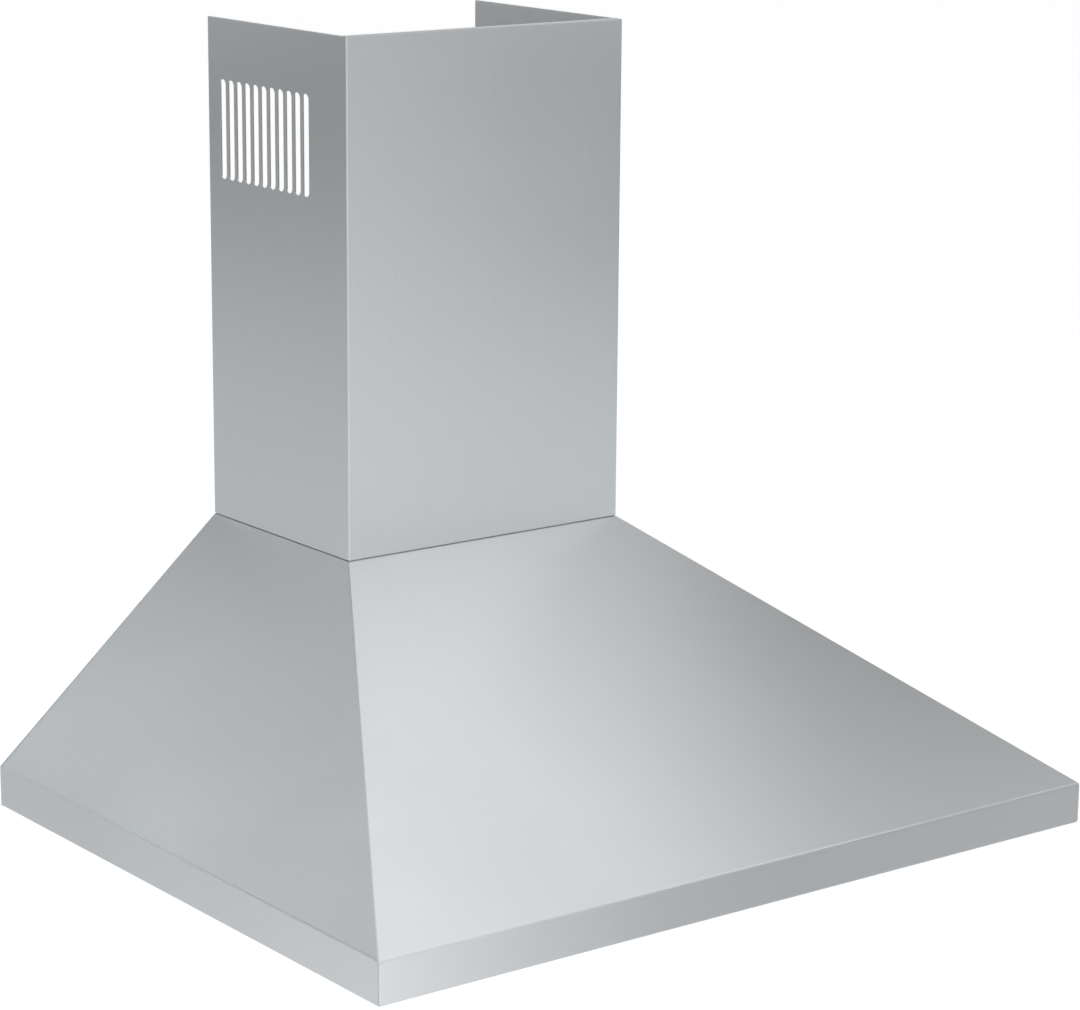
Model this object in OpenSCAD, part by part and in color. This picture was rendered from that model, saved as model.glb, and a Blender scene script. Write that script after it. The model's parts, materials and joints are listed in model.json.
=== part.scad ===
// Wall-mounted pyramid range hood, modelled at its real size in millimetres.
// X runs to the right as seen from the room, Y into the wall, Z up.
// The origin is the centre of the four wall fixing holes, on the wall plane.

/* [Canopy] */
// Width of the canopy across its rim
canopy_w = 600; // [592:1:620]
// Depth of the canopy from the wall to the front of its rim
canopy_d = 478; // [470:1:500]
// Height of the upright rim band
rim_h = 29.5; // [28:0.5:36]
// Height of the sloping sheets between rim and neck
pyramid_h = 160; // [156:1:175]
// Thickness of the canopy sheets
sheet = 0.8; // [0.6:0.1:1]
// Thickness of the back panel
back_sheet = 1; // [0.8:0.1:1.5]
// Width of the lip that turns inward under the rim
lip_w = 15; // [12:0.5:18]
// Visible gap between each side band and the sloping sheet above it
rim_seam = 0.5; // [0.3:0.1:0.8]
// Height of the hidden flange behind each side band
flange_h = 14; // [8:1:18]

/* [Chimney] */
// Width of the chimney cover
chimney_w = 236; // [230:1:250]
// Depth of the chimney cover from the wall
chimney_d = 176; // [172:1:184]
// Height of the lower chimney cover
cover_h = 362; // [340:1:400]
// Thickness of the chimney covers
cover_sheet = 0.7; // [0.5:0.1:0.8]
// Gap between the lower cover and the upper cover inside it
cover_gap = 0.4; // [0.3:0.1:0.6]
// Depth of the folded edge along the top of the upper cover
top_fold = 8; // [5:1:12]
// Width of the screw flanges at the foot of the lower cover
foot_flange = 12; // [10:1:14]
// Distance of the foot's screws from the chimney's front and back
foot_screw_in = 34; // [30:1:44]

/* [Air slots] */
// Number of air slots in each side of the chimney
slot_count = 11; // [7:1:11]
// Distance between neighbouring slots
slot_pitch = 10.66; // [10.2:0.1:11.2]
// Distance from the wall to the first slot's centre
slot_first = 19; // [15:1:25]
// Width of a slot in the lower cover
slot_w = 7.6; // [6:0.2:8]
// Height of a slot
slot_h = 71; // [50:1:80]
// Distance from the chimney's top edge down to the slots
slot_drop = 43; // [38:1:50]
// Extra width of the slots in the upper cover
slot_extra = 1.2; // [0.6:0.1:1.6]
// Extra height of the slots in the upper cover, so that a slanting view passes the round ends
slot_extra_h = 8; // [1:1:12]

/* [Neck] */
// Thickness of the neck plate, which shows as a dark joint line
neck_sheet = 0.8; // [0.6:0.1:1.2]
// How far the neck plate's edge lies behind the chimney's faces
neck_inset = 1; // [0.6:0.1:1]

/* [Wall fixing] */
// Height of the fixing pattern's centre above the rim's underside
fix_height = 105; // [95:1:115]
// Distance between the fixing holes across the wall
fix_span = 260; // [240:1:280]
// Distance between the fixing holes up the wall
fix_rise = 90; // [60:1:100]
// Radius of a wall fixing hole
fix_hole_r = 4; // [3:0.5:5]

/* [Lamp strip] */
// Depth of the strip that carries lamps and controls
strip_d = 72; // [70:1:76]
// Height of the strip above the rim's underside
strip_h = 8; // [7:0.5:9]
// Thickness of the strip
strip_sheet = 1; // [0.8:0.1:1.2]
// Distance of each lamp from the middle
lamp_x = 200; // [170:1:220]
// Radius of the lamp's flange
lamp_flange_r = 34; // [32:0.5:35]
// Radius of the lamp's lens
lamp_lens_r = 27.2; // [24:0.1:27.5]
// Height of the lamp's body above its lens
lamp_body_h = 26; // [18:1:27]

/* [Controls] */
// Width of the control plate
control_w = 120; // [116:1:150]
// Depth of the control plate
control_d = 28; // [24:1:34]
// Travel of the fan speed slider from nought to three
speed_travel = 30; // [24:1:33]
// Travel of the light slider
light_travel = 12; // [8:1:14]

/* [Grease filters] */
// Thickness of a grease filter
filter_t = 9; // [8:0.5:10]
// Width of a filter's frame border
filter_border = 11; // [8:0.5:14]
// Clearance in front of the filters and behind the catch
filter_gap = 1; // [0.8:0.1:1.5]
// Depth of the rear lip that each filter hangs on
hook_d = 12; // [10:0.5:14]
// Width of the bar between the two filters
bar_w = 12; // [10:1:16]
// Number of cells across one filter
mesh_across = 12; // [8:1:14]
// Number of cells from front to back of one filter
mesh_deep = 16; // [10:1:18]
// Travel of a filter latch
latch_travel = 6; // [5:0.5:6.5]
// Width of a filter latch
latch_w = 32; // [26:1:40]

/* [Blower] */
// Room between the blower's housing and each side of the chimney
blower_room = 41.5; // [40.5:0.5:46]
// Wall thickness of the scroll housing
scroll_wall = 1.5; // [1.2:0.1:2]
// Smallest inner radius of the scroll
volute_r = 80; // [78:0.5:81]
// Growth of the scroll's radius in each quarter turn
volute_step = 8; // [7.5:0.25:8.25]
// Height of the scroll's centre above the rim's underside
volute_h = 116; // [113:1:118]
// Depth of the scroll's outlet from front to back
throat_d = 152; // [151:0.5:153]
// Height of the scroll's outlet above the neck plate
throat_rise = 24; // [20:1:40]
// Outer radius of the impeller
impeller_r = 70; // [66:0.5:72]
// Number of blades on the impeller
blade_count = 32; // [16:4:40]
// Radius of the shaft
shaft_r = 4; // [3:0.5:5]
// Outer radius of the motor
motor_r = 40; // [36:0.5:44]
// Length of the motor
motor_len = 74; // [66:1:80]

/* [Outlet] */
// Outer radius of the outlet collar
collar_r = 75; // [72:0.5:75]
// Wall thickness of the outlet collar
collar_wall = 1.5; // [1.2:0.1:2]
// Height of the outlet collar
collar_h = 45; // [40:1:60]
// Radius of the pin that the outlet flaps turn on
flap_pin_r = 2; // [1.5:0.1:2.2]

/* [Hidden] */
$fn = 96;

// Room for a cut to pass right through the sheet it opens
past = 1;
// Clearance between pieces that lie or slide side by side
gap = 0.3;
// Radial running clearance of a round fit
run_fit = 0.05;

// Heights
rim_z = -fix_height;
rim_top_z = rim_z + rim_h;
neck_z = rim_top_z + pyramid_h;
seat_z = neck_z + neck_sheet;
top_z = seat_z + cover_h;

// Half widths and front planes
rim_x = canopy_w / 2;
chimney_x = chimney_w / 2;
hem_x = rim_x - lip_w;
hem_y = -canopy_d + lip_w;

// Slopes of the side and front sheets
side_slope = atan2(pyramid_h, rim_x - chimney_x);
front_slope = atan2(pyramid_h, canopy_d - chimney_d);

// Undersides of the strip and of the plate above the filters
strip_z = rim_z + strip_h;
strip_top_z = strip_z + strip_sheet;
strip_y = hem_y + strip_d;
support_h = 16;
support_z = rim_z + support_h;
support_sheet = 1;

// Grease filters: size, place and hinge line
filter_bottom_z = support_z - gap - filter_t;
filter_front_y = strip_y + filter_gap;
filter_back_room = 15;
filter_rear_y = -lip_w - filter_back_room;
filter_d = filter_rear_y - filter_front_y;
filter_side_gap = 2;
filter_in_x = bar_w / 2 + filter_side_gap;
filter_out_x = hem_x - filter_side_gap - 1;
filter_w = filter_out_x - filter_in_x;
filter_x = (filter_in_x + filter_out_x) / 2;
ledge = 6;
hook_sheet = 1;
hook_web_y = filter_rear_y + filter_side_gap + 1;
hook_top_z = filter_bottom_z - gap;
hook_front_y = hook_web_y + hook_sheet - hook_d;
latch_t = 3;
latch_z = filter_bottom_z + filter_t / 2 - 1.8;
latch_tongue = 2.4;
latch_len = 19.4;
latch_front_y = filter_front_y - filter_gap - latch_tongue;
latch_rear_y = latch_front_y + latch_len;
latch_tab_w = 24;
latch_tab_d = 3.5;
spring_len = 10;
pocket_rear_y = latch_rear_y + spring_len;
latch_tab_y = filter_front_y + 4.5;
pocket_wall = 3;
latch_block_w = latch_w + 26;
latch_block_y = pocket_rear_y + pocket_wall;

// Lamps and controls
lamp_y = (hem_y + strip_y) / 2;
lamp_tube_r = lamp_lens_r + 0.1;
lamp_tube_wall = 2;
lamp_flange_t = 2.4;
lens_t = 3;
control_t = 1.6;
grip_half_d = 6;
speed_x = -50;
light_x = 22;
knob_w = 9;
stem_w = 4;
stem_d = 3;
switch_h = 18;

// Scroll housing: first arc's centre, impeller's axis and the arc radii
volute_y = -chimney_d / 2 + throat_d / 2 - volute_r - 3 * volute_step;
volute_z = rim_z + volute_h;
axis_y = volute_y + volute_step / 2;
axis_z = volute_z + volute_step / 2;
throat_front = -chimney_d / 2 - throat_d / 2;
throat_back = -chimney_d / 2 + throat_d / 2;
throat_top_z = seat_z + throat_rise;
scroll_x = chimney_x - blower_room;
inlet_r = impeller_r - 10;
tab_w = 22;
tab_t = 3;
tab_len = 124;
impeller_half = scroll_x - scroll_wall - 13;
blade_t = 1.2;
disc_t = 3;
ring_t = 2;
blade_len = 15;
bearing_r = 2 * shaft_r;
bearing_len = 8;
motor_wall = 2;
stack_len = 36;
rotor_r = 22;
hub_r = 12;
hub_front = 14;
hub_back = 12;
motor_gap = 6;
motor_left_x = -hub_back - motor_gap - motor_len;
spider_t = 3;
arm_reach = inlet_r + 24;
arm_angles = [-90, 30, 150];
spider_screw_r = arm_reach - 8;

// Outlet collar and its flaps
collar_y = -chimney_d / 2;
collar_in_r = collar_r - collar_wall;
adapter_t = 2;
adapter_lap = 10;
collar_z = throat_top_z + adapter_t;
seat_ledge = 3.5;
ledge_h = 14;
ledge_z = collar_z + ledge_h;
flap_t = 1.5;
flap_drop = 2.7;
flap_axis_z = ledge_z + gap + flap_drop;
flap_r = collar_in_r - 1.2;
knuckle_r = flap_pin_r + 1.6;
knuckle_count = 4;

// Junction box and capacitor on the back panel
box_w = 60;
box_d = 42;
box_h = 50;
box_from_side = 75;
box_rise = 35;
box_x = rim_x - box_from_side - box_w;
box_z = rim_z + box_rise;
box_wall = 2;
lid_t = 2;
board_t = 1.6;
board_edge = 5;
post_h = 8;
post_in = 12;
cap_r = 14;
cap_h = 50;
cap_from_side = 115;
cap_rise = 40;
cap_x = -rim_x + cap_from_side;
cap_z = rim_z + cap_rise;
cap_off = 2;
clip_t = 1.2;

// Cable gland
gland_r = 6;
gland_bore_r = 3.7;
gland_nut_r = 8;

// Screw sizes
screw_r = 1.75;
screw_hole_r = 1.95;
screw_head_r = 3.6;
screw_head_t = 2.2;

// Colours
steel = [0.72, 0.73, 0.74];
dark_steel = [0.5, 0.51, 0.53];
zinc = [0.62, 0.64, 0.66];
alloy = [0.8, 0.81, 0.82];
black_plastic = [0.12, 0.12, 0.13];
grey_plastic = [0.45, 0.46, 0.48];

// Height of a point on the inner face of the front slope
function front_inner_z(y) =
  neck_z + (y + chimney_d - sheet / sin(front_slope)) * tan(front_slope);

// Height of a point on the inner face of a side slope
function side_inner_z(x) =
  neck_z - (x - chimney_x + sheet / sin(side_slope)) * tan(side_slope);

// Box given by its lowest and highest corner
module block(low, high) {
  translate(low) cube(high - low);
}

// Outline in Y and Z, extruded to both sides of the middle plane
module across(width) {
  rotate([90, 0, 90]) linear_extrude(width, center = true) children();
}

// Outline in Y and Z, extruded from one X position to another
module across_from(x0, x1) {
  translate([x0, 0, 0]) rotate([90, 0, 90]) linear_extrude(x1 - x0) children();
}

// Outline in X and Z, extruded from one Y position to another
module along_depth(y0, y1) {
  translate([0, y1, 0]) rotate([90, 0, 0]) linear_extrude(y1 - y0) children();
}

// Outer outline of the canopy as seen from the front
module front_view_outline() {
  polygon([
    [-rim_x, rim_z], [rim_x, rim_z], [rim_x, rim_top_z],
    [chimney_x, neck_z], [-chimney_x, neck_z], [-rim_x, rim_top_z]
  ]);
}

// Space behind the front sheet as seen from the side
module side_view_space() {
  polygon([
    [-canopy_d + sheet, rim_z], [-canopy_d + sheet, front_inner_z(-canopy_d + sheet)],
    [-chimney_d + sheet / sin(front_slope), neck_z], [-back_sheet, neck_z], [-back_sheet, rim_z]
  ]);
}

// Rounded slot with its long side along the second axis
module slot_outline(width, height) {
  square([width, height - width], center = true);
  for (end = [-1, 1]) {
    translate([0, end * (height - width) / 2]) circle(d = width, $fn = 48);
  }
}

// Screw with its head down, tip up, standing on the given plane
module screw_up(length) {
  translate([0, 0, -screw_head_t]) cylinder(r = screw_head_r, h = screw_head_t, $fn = 32);
  cylinder(r = screw_r, h = length, $fn = 32);
}

// Everything turned about the impeller's axis starts from this place
module on_axis(x0) {
  translate([x0, axis_y, axis_z]) rotate([0, 90, 0]) children();
}

// Folded front sheet: slope, rim band, lip and hem
module canopy_front() {
  color(steel) {
    intersection() {
      across(canopy_w) polygon([
        [-canopy_d, rim_z], [-canopy_d, rim_top_z], [-chimney_d, neck_z],
        [-chimney_d + sheet / sin(front_slope), neck_z],
        [-canopy_d + sheet, front_inner_z(-canopy_d + sheet)],
        [-canopy_d + sheet, rim_z + sheet], [hem_y, rim_z + sheet], [hem_y, rim_z]
      ]);
      along_depth(-canopy_d, 0) front_view_outline();
    }
    block([-hem_x - sheet, hem_y - sheet, rim_z], [hem_x + sheet, hem_y, strip_z]);
  }
}

// Sloping side sheet with its flange behind the rim band
module canopy_side() {
  flange_x = rim_x - sheet;
  color(steel) intersection() {
    along_depth(-canopy_d, -back_sheet) polygon([
      [rim_x, rim_top_z], [chimney_x, neck_z], [chimney_x - sheet / sin(side_slope), neck_z],
      [flange_x - sheet, side_inner_z(flange_x - sheet)],
      [flange_x - sheet, rim_top_z - flange_h], [flange_x, rim_top_z - flange_h],
      [flange_x, rim_top_z]
    ]);
    across(canopy_w) side_view_space();
  }
}

module canopy_side_right() { canopy_side(); }
module canopy_side_left() { mirror([1, 0, 0]) canopy_side(); }

// Upright side band with its lip and hem
module rim_side() {
  color(steel) {
    block([rim_x - sheet, -canopy_d + sheet, rim_z], [rim_x, -back_sheet, rim_top_z - rim_seam]);
    block([hem_x, hem_y, rim_z], [rim_x, -back_sheet, rim_z + sheet]);
    block([hem_x, hem_y, rim_z], [hem_x + sheet, -back_sheet, support_z]);
  }
}

module rim_side_right() { rim_side(); }
module rim_side_left() { mirror([1, 0, 0]) rim_side(); }

// Flat back with the wall fixing holes, its lip and hem
module back_panel() {
  color(zinc) {
    difference() {
      along_depth(-back_sheet, 0) front_view_outline();
      for (x = [-1, 1], z = [-1, 1]) {
        translate([x * fix_span / 2, past, z * fix_rise / 2])
          rotate([90, 0, 0]) cylinder(r = fix_hole_r, h = back_sheet + 2 * past);
      }
    }
    block([-hem_x, -lip_w, rim_z], [hem_x, -back_sheet, rim_z + sheet]);
    block([-hem_x, -lip_w, rim_z], [hem_x, -lip_w + sheet, support_z]);
  }
}

// Places of the screws that hold the chimney's foot
module cover_screw_places() {
  for (x = [-1, 1], y = [foot_screw_in, chimney_d - foot_screw_in]) {
    translate([x * (chimney_x - cover_sheet - foot_flange / 2), -y, neck_z]) children();
  }
}

// Places of the screws that hang the blower
module blower_screw_places() {
  for (x = [-1, 1], y = [-1, 1]) {
    translate([x * (scroll_x + tab_w - 8), collar_y + y * (tab_len / 2 - 10), neck_z - tab_t])
      children();
  }
}

// Place of the cable gland in the neck plate
module gland_place() {
  translate([scroll_x + 19, -15, neck_z]) children();
}

// Plate that closes the pyramid's top and carries chimney and blower
module neck_plate() {
  edge_x = chimney_x - neck_inset;
  margin = 1;
  color(dark_steel) difference() {
    block([-edge_x, -chimney_d + neck_inset, neck_z], [edge_x, 0, seat_z]);
    block([-scroll_x - margin, throat_front - scroll_wall - margin, neck_z - past],
          [scroll_x + margin, throat_back + scroll_wall + margin, seat_z + past]);
    cover_screw_places() translate([0, 0, -past])
      cylinder(r = screw_hole_r, h = neck_sheet + 2 * past, $fn = 32);
    blower_screw_places() cylinder(r = screw_hole_r, h = tab_t + neck_sheet + past, $fn = 32);
    gland_place() translate([0, 0, -past])
      cylinder(r = gland_r + run_fit, h = neck_sheet + 2 * past, $fn = 48);
  }
}

// Air slots through both sides of a cover
module air_slots(extra_w, extra_h) {
  for (i = [0 : slot_count - 1]) {
    across(chimney_w + 2 * past)
      translate([-slot_first - i * slot_pitch, top_z - slot_drop - slot_h / 2])
        slot_outline(slot_w + extra_w, slot_h + extra_h);
  }
}

// Three-sided cover, open towards the wall
module cover_walls(half, front, wall, low, high) {
  difference() {
    block([-half, -front, low], [half, 0, high]);
    block([-half + wall, -front + wall, low - past], [half - wall, past, high + past]);
  }
}

module lower_cover() {
  inner_x = chimney_x - cover_sheet;
  flange_end = 6;
  color(steel) {
    difference() {
      cover_walls(chimney_x, chimney_d, cover_sheet, seat_z, top_z);
      air_slots(0, 0);
    }
    for (side = [-1, 1]) {
      difference() {
        block([min(side * inner_x, side * (inner_x - foot_flange)), -chimney_d + flange_end, seat_z],
              [max(side * inner_x, side * (inner_x - foot_flange)), -flange_end,
               seat_z + cover_sheet]);
        cover_screw_places() cylinder(r = screw_hole_r, h = 2 * neck_sheet + past, $fn = 32);
      }
    }
  }
}

module upper_cover() {
  half = chimney_x - cover_sheet - cover_gap;
  front = chimney_d - cover_sheet - cover_gap;
  color(steel) {
    difference() {
      cover_walls(half, front, cover_sheet, seat_z + cover_sheet, top_z);
      air_slots(slot_extra, slot_extra_h);
    }
    block([-half, -front, top_z - cover_sheet], [half, -front + top_fold, top_z]);
  }
}

module cover_screws() {
  color(zinc) cover_screw_places() screw_up(neck_sheet + cover_sheet + 4);
}

// Place of each lamp on the strip
module lamp_place(side) {
  translate([side * lamp_x, lamp_y, strip_z]) children();
}

// Slot that a slider's stem runs in, from its start to its far end
module slider_slot(x0, travel, low, high) {
  block([x0 - stem_w / 2 - gap, lamp_y - stem_d / 2 - gap, low],
        [x0 + travel + stem_w / 2 + gap, lamp_y + stem_d / 2 + gap, high]);
}

module lamp_panel() {
  color(steel) difference() {
    block([-hem_x, hem_y - sheet, strip_z], [hem_x, strip_y, strip_top_z]);
    for (side = [-1, 1]) {
      lamp_place(side) translate([0, 0, -past])
        cylinder(r = lamp_tube_r + lamp_tube_wall + gap, h = strip_sheet + 2 * past);
    }
    slider_slot(speed_x, speed_travel, strip_z - past, strip_top_z + past);
    slider_slot(light_x, light_travel, strip_z - past, strip_top_z + past);
  }
}

// Lamp's flange below the strip and its tube above it
module lamp_bezel(side) {
  lip_r = lamp_lens_r - 2.2;
  lip_t = 1;
  tube_top = 14;
  color(alloy) lamp_place(side) rotate_extrude() polygon([
    [lip_r, -lamp_flange_t], [lamp_flange_r, -lamp_flange_t], [lamp_flange_r, 0],
    [lamp_tube_r + lamp_tube_wall, 0], [lamp_tube_r + lamp_tube_wall, tube_top],
    [lamp_tube_r, tube_top], [lamp_tube_r, lip_t - lamp_flange_t], [lip_r, lip_t - lamp_flange_t]
  ]);
}

module lamp_bezel_left() { lamp_bezel(-1); }
module lamp_bezel_right() { lamp_bezel(1); }

// Round lens that lies on the bezel's lip
module lamp_lens(side) {
  color([0.93, 0.94, 0.92]) lamp_place(side) translate([0, 0, 1 - lamp_flange_t])
    cylinder(r = lamp_lens_r, h = lens_t);
}

module lamp_lens_left() { lamp_lens(-1); }
module lamp_lens_right() { lamp_lens(1); }

// Lamp's cup with cooling grooves, standing on the lens
module lamp_body(side) {
  groove_count = 4;
  groove_t = 2;
  first_groove = 13;
  groove_step = (lamp_body_h - first_groove) / groove_count;
  color(dark_steel) lamp_place(side) translate([0, 0, 1 - lamp_flange_t + lens_t]) difference() {
    cylinder(r = lamp_lens_r, h = lamp_body_h);
    for (i = [0 : groove_count - 1]) {
      translate([0, 0, first_groove + i * groove_step]) difference() {
        cylinder(r = lamp_lens_r + past, h = groove_step - groove_t);
        translate([0, 0, -past]) cylinder(r = lamp_lens_r - 6, h = groove_step + 2 * past);
      }
    }
  }
}

module lamp_body_left() { lamp_body(-1); }
module lamp_body_right() { lamp_body(1); }

module control_plate() {
  color(black_plastic) difference() {
    block([-control_w / 2, lamp_y - control_d / 2, strip_z - control_t],
          [control_w / 2, lamp_y + control_d / 2, strip_z]);
    slider_slot(speed_x, speed_travel, strip_z - control_t - past, strip_z + past);
    slider_slot(light_x, light_travel, strip_z - control_t - past, strip_z + past);
  }
}

// Switch housing on top of the strip, hollow where the stems run
module switch_box() {
  pocket_h = 6;
  color(grey_plastic) difference() {
    block([-control_w / 2 + 2, lamp_y - control_d / 2 + 1, strip_top_z],
          [control_w / 2 - 2, lamp_y + control_d / 2 - 1, strip_top_z + switch_h]);
    slider_slot(speed_x, speed_travel, strip_top_z - past, strip_top_z + pocket_h);
    slider_slot(light_x, light_travel, strip_top_z - past, strip_top_z + pocket_h);
  }
}

// Slider with a ribbed grip below the plate and a stem into the switch
module slider(x0) {
  grip_top = strip_z - control_t - gap;
  grip_h = 3.4;
  rib_h = 0.6;
  stem_top = strip_top_z + 5.4;
  color(grey_plastic) {
    block([x0 - knob_w / 2, lamp_y - grip_half_d, grip_top - grip_h],
          [x0 + knob_w / 2, lamp_y + grip_half_d, grip_top]);
    for (rib = [-1, 0, 1]) {
      block([x0 + rib * 3 - 0.6, lamp_y - grip_half_d + 1, grip_top - grip_h - rib_h],
            [x0 + rib * 3 + 0.6, lamp_y + grip_half_d - 1, grip_top - grip_h]);
    }
    block([x0 - stem_w / 2, lamp_y - stem_d / 2, grip_top],
          [x0 + stem_w / 2, lamp_y + stem_d / 2, stem_top]);
  }
}

module speed_slider() { slider(speed_x); }
module light_slider() { slider(light_x); }

// Plate above the filters with its catch flange, middle bar and hook rails
module filter_support() {
  edge_x = hem_x + sheet;
  hinge_room = 20;
  bar_wall = 1;
  bar_z = filter_bottom_z + gap;
  support_top = support_z + support_sheet;
  color(zinc) {
    difference() {
      union() {
        block([-edge_x, strip_y - 1, support_z], [edge_x, -lip_w + sheet, support_top]);
        block([-hem_x, strip_y - 1, strip_top_z], [hem_x, strip_y, support_z]);
      }
      for (side = [-1, 1]) translate([side * filter_x, 0, 0]) {
        block([-filter_w / 2 + ledge, filter_front_y + ledge + 4, support_z - past],
              [filter_w / 2 - ledge, hook_web_y, support_top + past]);
        block([-filter_w / 2 - 1, hook_web_y - hinge_room, support_z - past],
              [filter_w / 2 + 1, hook_web_y, support_top + past]);
        block([-latch_w / 2 - 0.5, strip_y - 1 - past, latch_z - gap],
              [latch_w / 2 + 0.5, strip_y + past, latch_z + latch_t + gap]);
      }
    }
    block([-hem_x, hook_web_y, hook_top_z - hook_sheet], [hem_x, hook_web_y + 1, support_z]);
    block([-hem_x, hook_front_y, hook_top_z - hook_sheet], [hem_x, hook_web_y, hook_top_z]);
    block([-bar_w / 2, strip_y, bar_z], [bar_w / 2, hook_front_y, bar_z + bar_wall]);
    for (side = [-1, 1]) {
      block([side * (bar_w / 2 - bar_wall / 2) - bar_wall / 2, strip_y, bar_z],
            [side * (bar_w / 2 - bar_wall / 2) + bar_wall / 2, hook_web_y, support_z]);
    }
  }
}

// Aluminium frame of one grease filter with the housing of its latch
module filter_frame(side) {
  low_z = filter_bottom_z;
  high_z = filter_bottom_z + filter_t;
  color(alloy) translate([side * filter_x, 0, 0]) difference() {
    union() {
      difference() {
        block([-filter_w / 2, filter_front_y, low_z], [filter_w / 2, filter_rear_y, high_z]);
        block([-filter_w / 2 + filter_border, filter_front_y + filter_border, low_z - past],
              [filter_w / 2 - filter_border, filter_rear_y - filter_border, high_z + past]);
      }
      block([-latch_block_w / 2, filter_front_y, low_z], [latch_block_w / 2, latch_block_y, high_z]);
    }
    block([-latch_w / 2 - gap, filter_front_y - past, latch_z - gap],
          [latch_w / 2 + gap, pocket_rear_y, latch_z + latch_t + gap]);
    block([-latch_tab_w / 2 - 1, filter_front_y + 3, low_z - past],
          [latch_tab_w / 2 + 1, latch_tab_y + latch_tab_d + latch_travel + 1, latch_z]);
  }
}

module filter_frame_left() { filter_frame(-1); }
module filter_frame_right() { filter_frame(1); }

// Flat grid that stands for the layers of expanded metal in one filter
module filter_mesh(side) {
  inset_z = 1;
  bar = 3;
  w = filter_w - 2 * filter_border;
  d = filter_d - 2 * filter_border;
  cell_w = (w - bar) / mesh_across;
  cell_d = (d - bar) / mesh_deep;
  color([0.74, 0.75, 0.77]) translate([side * filter_x, 0, 0])
    translate([-w / 2, filter_front_y + filter_border, filter_bottom_z + inset_z])
      linear_extrude(filter_t - 2 * inset_z) difference() {
        square([w, d]);
        for (i = [0 : mesh_across - 1], j = [0 : mesh_deep - 1]) {
          translate([bar + i * cell_w, bar + j * cell_d]) square([cell_w - bar, cell_d - bar]);
        }
        translate([(w - latch_block_w) / 2, -past])
          square([latch_block_w, latch_block_y - filter_front_y - filter_border + past]);
      }
}

module filter_mesh_left() { filter_mesh(-1); }
module filter_mesh_right() { filter_mesh(1); }

// Sliding bolt with the tab that a finger pulls
module filter_latch(side) {
  color(grey_plastic) translate([side * filter_x, 0, 0]) {
    block([-latch_w / 2, latch_front_y, latch_z], [latch_w / 2, latch_rear_y, latch_z + latch_t]);
    block([-latch_tab_w / 2, latch_tab_y, filter_bottom_z + 0.2],
          [latch_tab_w / 2, latch_tab_y + latch_tab_d, latch_z]);
  }
}

module filter_latch_left() { filter_latch(-1); }
module filter_latch_right() { filter_latch(1); }

// Sleeve that stands for the small coil spring behind a latch
module latch_spring(side) {
  color(zinc) translate([side * filter_x, latch_rear_y, latch_z + latch_t / 2])
    rotate([-90, 0, 0]) difference() {
      cylinder(r = 1.4, h = spring_len, $fn = 32);
      translate([0, 0, -past]) cylinder(r = 1, h = spring_len + 2 * past, $fn = 32);
    }
}

module latch_spring_left() { latch_spring(-1); }
module latch_spring_right() { latch_spring(1); }

// Inside of the scroll, grown outward by the wall where asked
module volute_outline(grow) {
  r1 = volute_r + grow;
  r2 = r1 + volute_step;
  r3 = r2 + volute_step;
  translate([volute_y, volute_z]) {
    intersection() {
      circle(r1);
      translate([-r1, 0]) square(r1);
    }
    translate([volute_step, 0]) intersection() {
      circle(r2);
      translate([-r2, -r2]) square(r2);
    }
    translate([volute_step, volute_step]) intersection() {
      circle(r3);
      translate([0, -r3]) square(r3);
    }
    square(volute_step);
  }
  translate([throat_front - grow, volute_z + volute_step])
    square([throat_d + 2 * grow, throat_top_z - volute_z - volute_step]);
}

// Right half of the scroll with its inlet and hanging tab
module scroll_half() {
  bell_len = 8;
  color(zinc) {
    difference() {
      union() {
        across_from(0, scroll_x) volute_outline(scroll_wall);
        block([scroll_x, collar_y - tab_len / 2, neck_z - tab_t],
              [scroll_x + tab_w, collar_y + tab_len / 2, neck_z]);
      }
      difference() {
        across_from(-past, scroll_x - scroll_wall) union() {
          volute_outline(0);
          translate([throat_front, throat_top_z - past]) square([throat_d, 2 * past]);
        }
        on_axis(scroll_x - scroll_wall - bell_len) cylinder(r = inlet_r + 1.5, h = bell_len);
      }
      on_axis(scroll_x - scroll_wall - bell_len - past)
        cylinder(r = inlet_r, h = bell_len + scroll_wall + 2 * past);
      blower_screw_places() translate([0, 0, -past])
        cylinder(r = screw_hole_r, h = tab_t + 2 * past, $fn = 32);
    }
  }
}

// Places of the screws that hold the motor's spider
module spider_screw_places() {
  for (a = arm_angles) {
    on_axis(-scroll_x - spider_t) rotate([0, 0, 90 + a]) translate([spider_screw_r, 0, 0])
      children();
  }
}

module scroll_right() { scroll_half(); }

module scroll_left() {
  difference() {
    mirror([1, 0, 0]) scroll_half();
    spider_screw_places() cylinder(r = screw_r, h = spider_t + scroll_wall + past, $fn = 32);
  }
}

module blower_screws() {
  color(zinc) blower_screw_places() screw_up(tab_t + neck_sheet + 4);
}

// Hollow motor can with a bearing seat at each end
module motor_housing() {
  color(grey_plastic) difference() {
    on_axis(motor_left_x) cylinder(r = motor_r, h = motor_len);
    on_axis(motor_left_x + bearing_len)
      cylinder(r = motor_r - motor_wall, h = motor_len - 2 * bearing_len);
    on_axis(motor_left_x - past) cylinder(r = bearing_r, h = motor_len + 2 * past, $fn = 48);
  }
}

module motor_stator() {
  color([0.55, 0.35, 0.2]) on_axis(motor_left_x + motor_len / 2 - stack_len / 2) difference() {
    cylinder(r = motor_r - motor_wall, h = stack_len);
    translate([0, 0, -past]) cylinder(r = rotor_r + 0.6, h = stack_len + 2 * past);
  }
}

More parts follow.
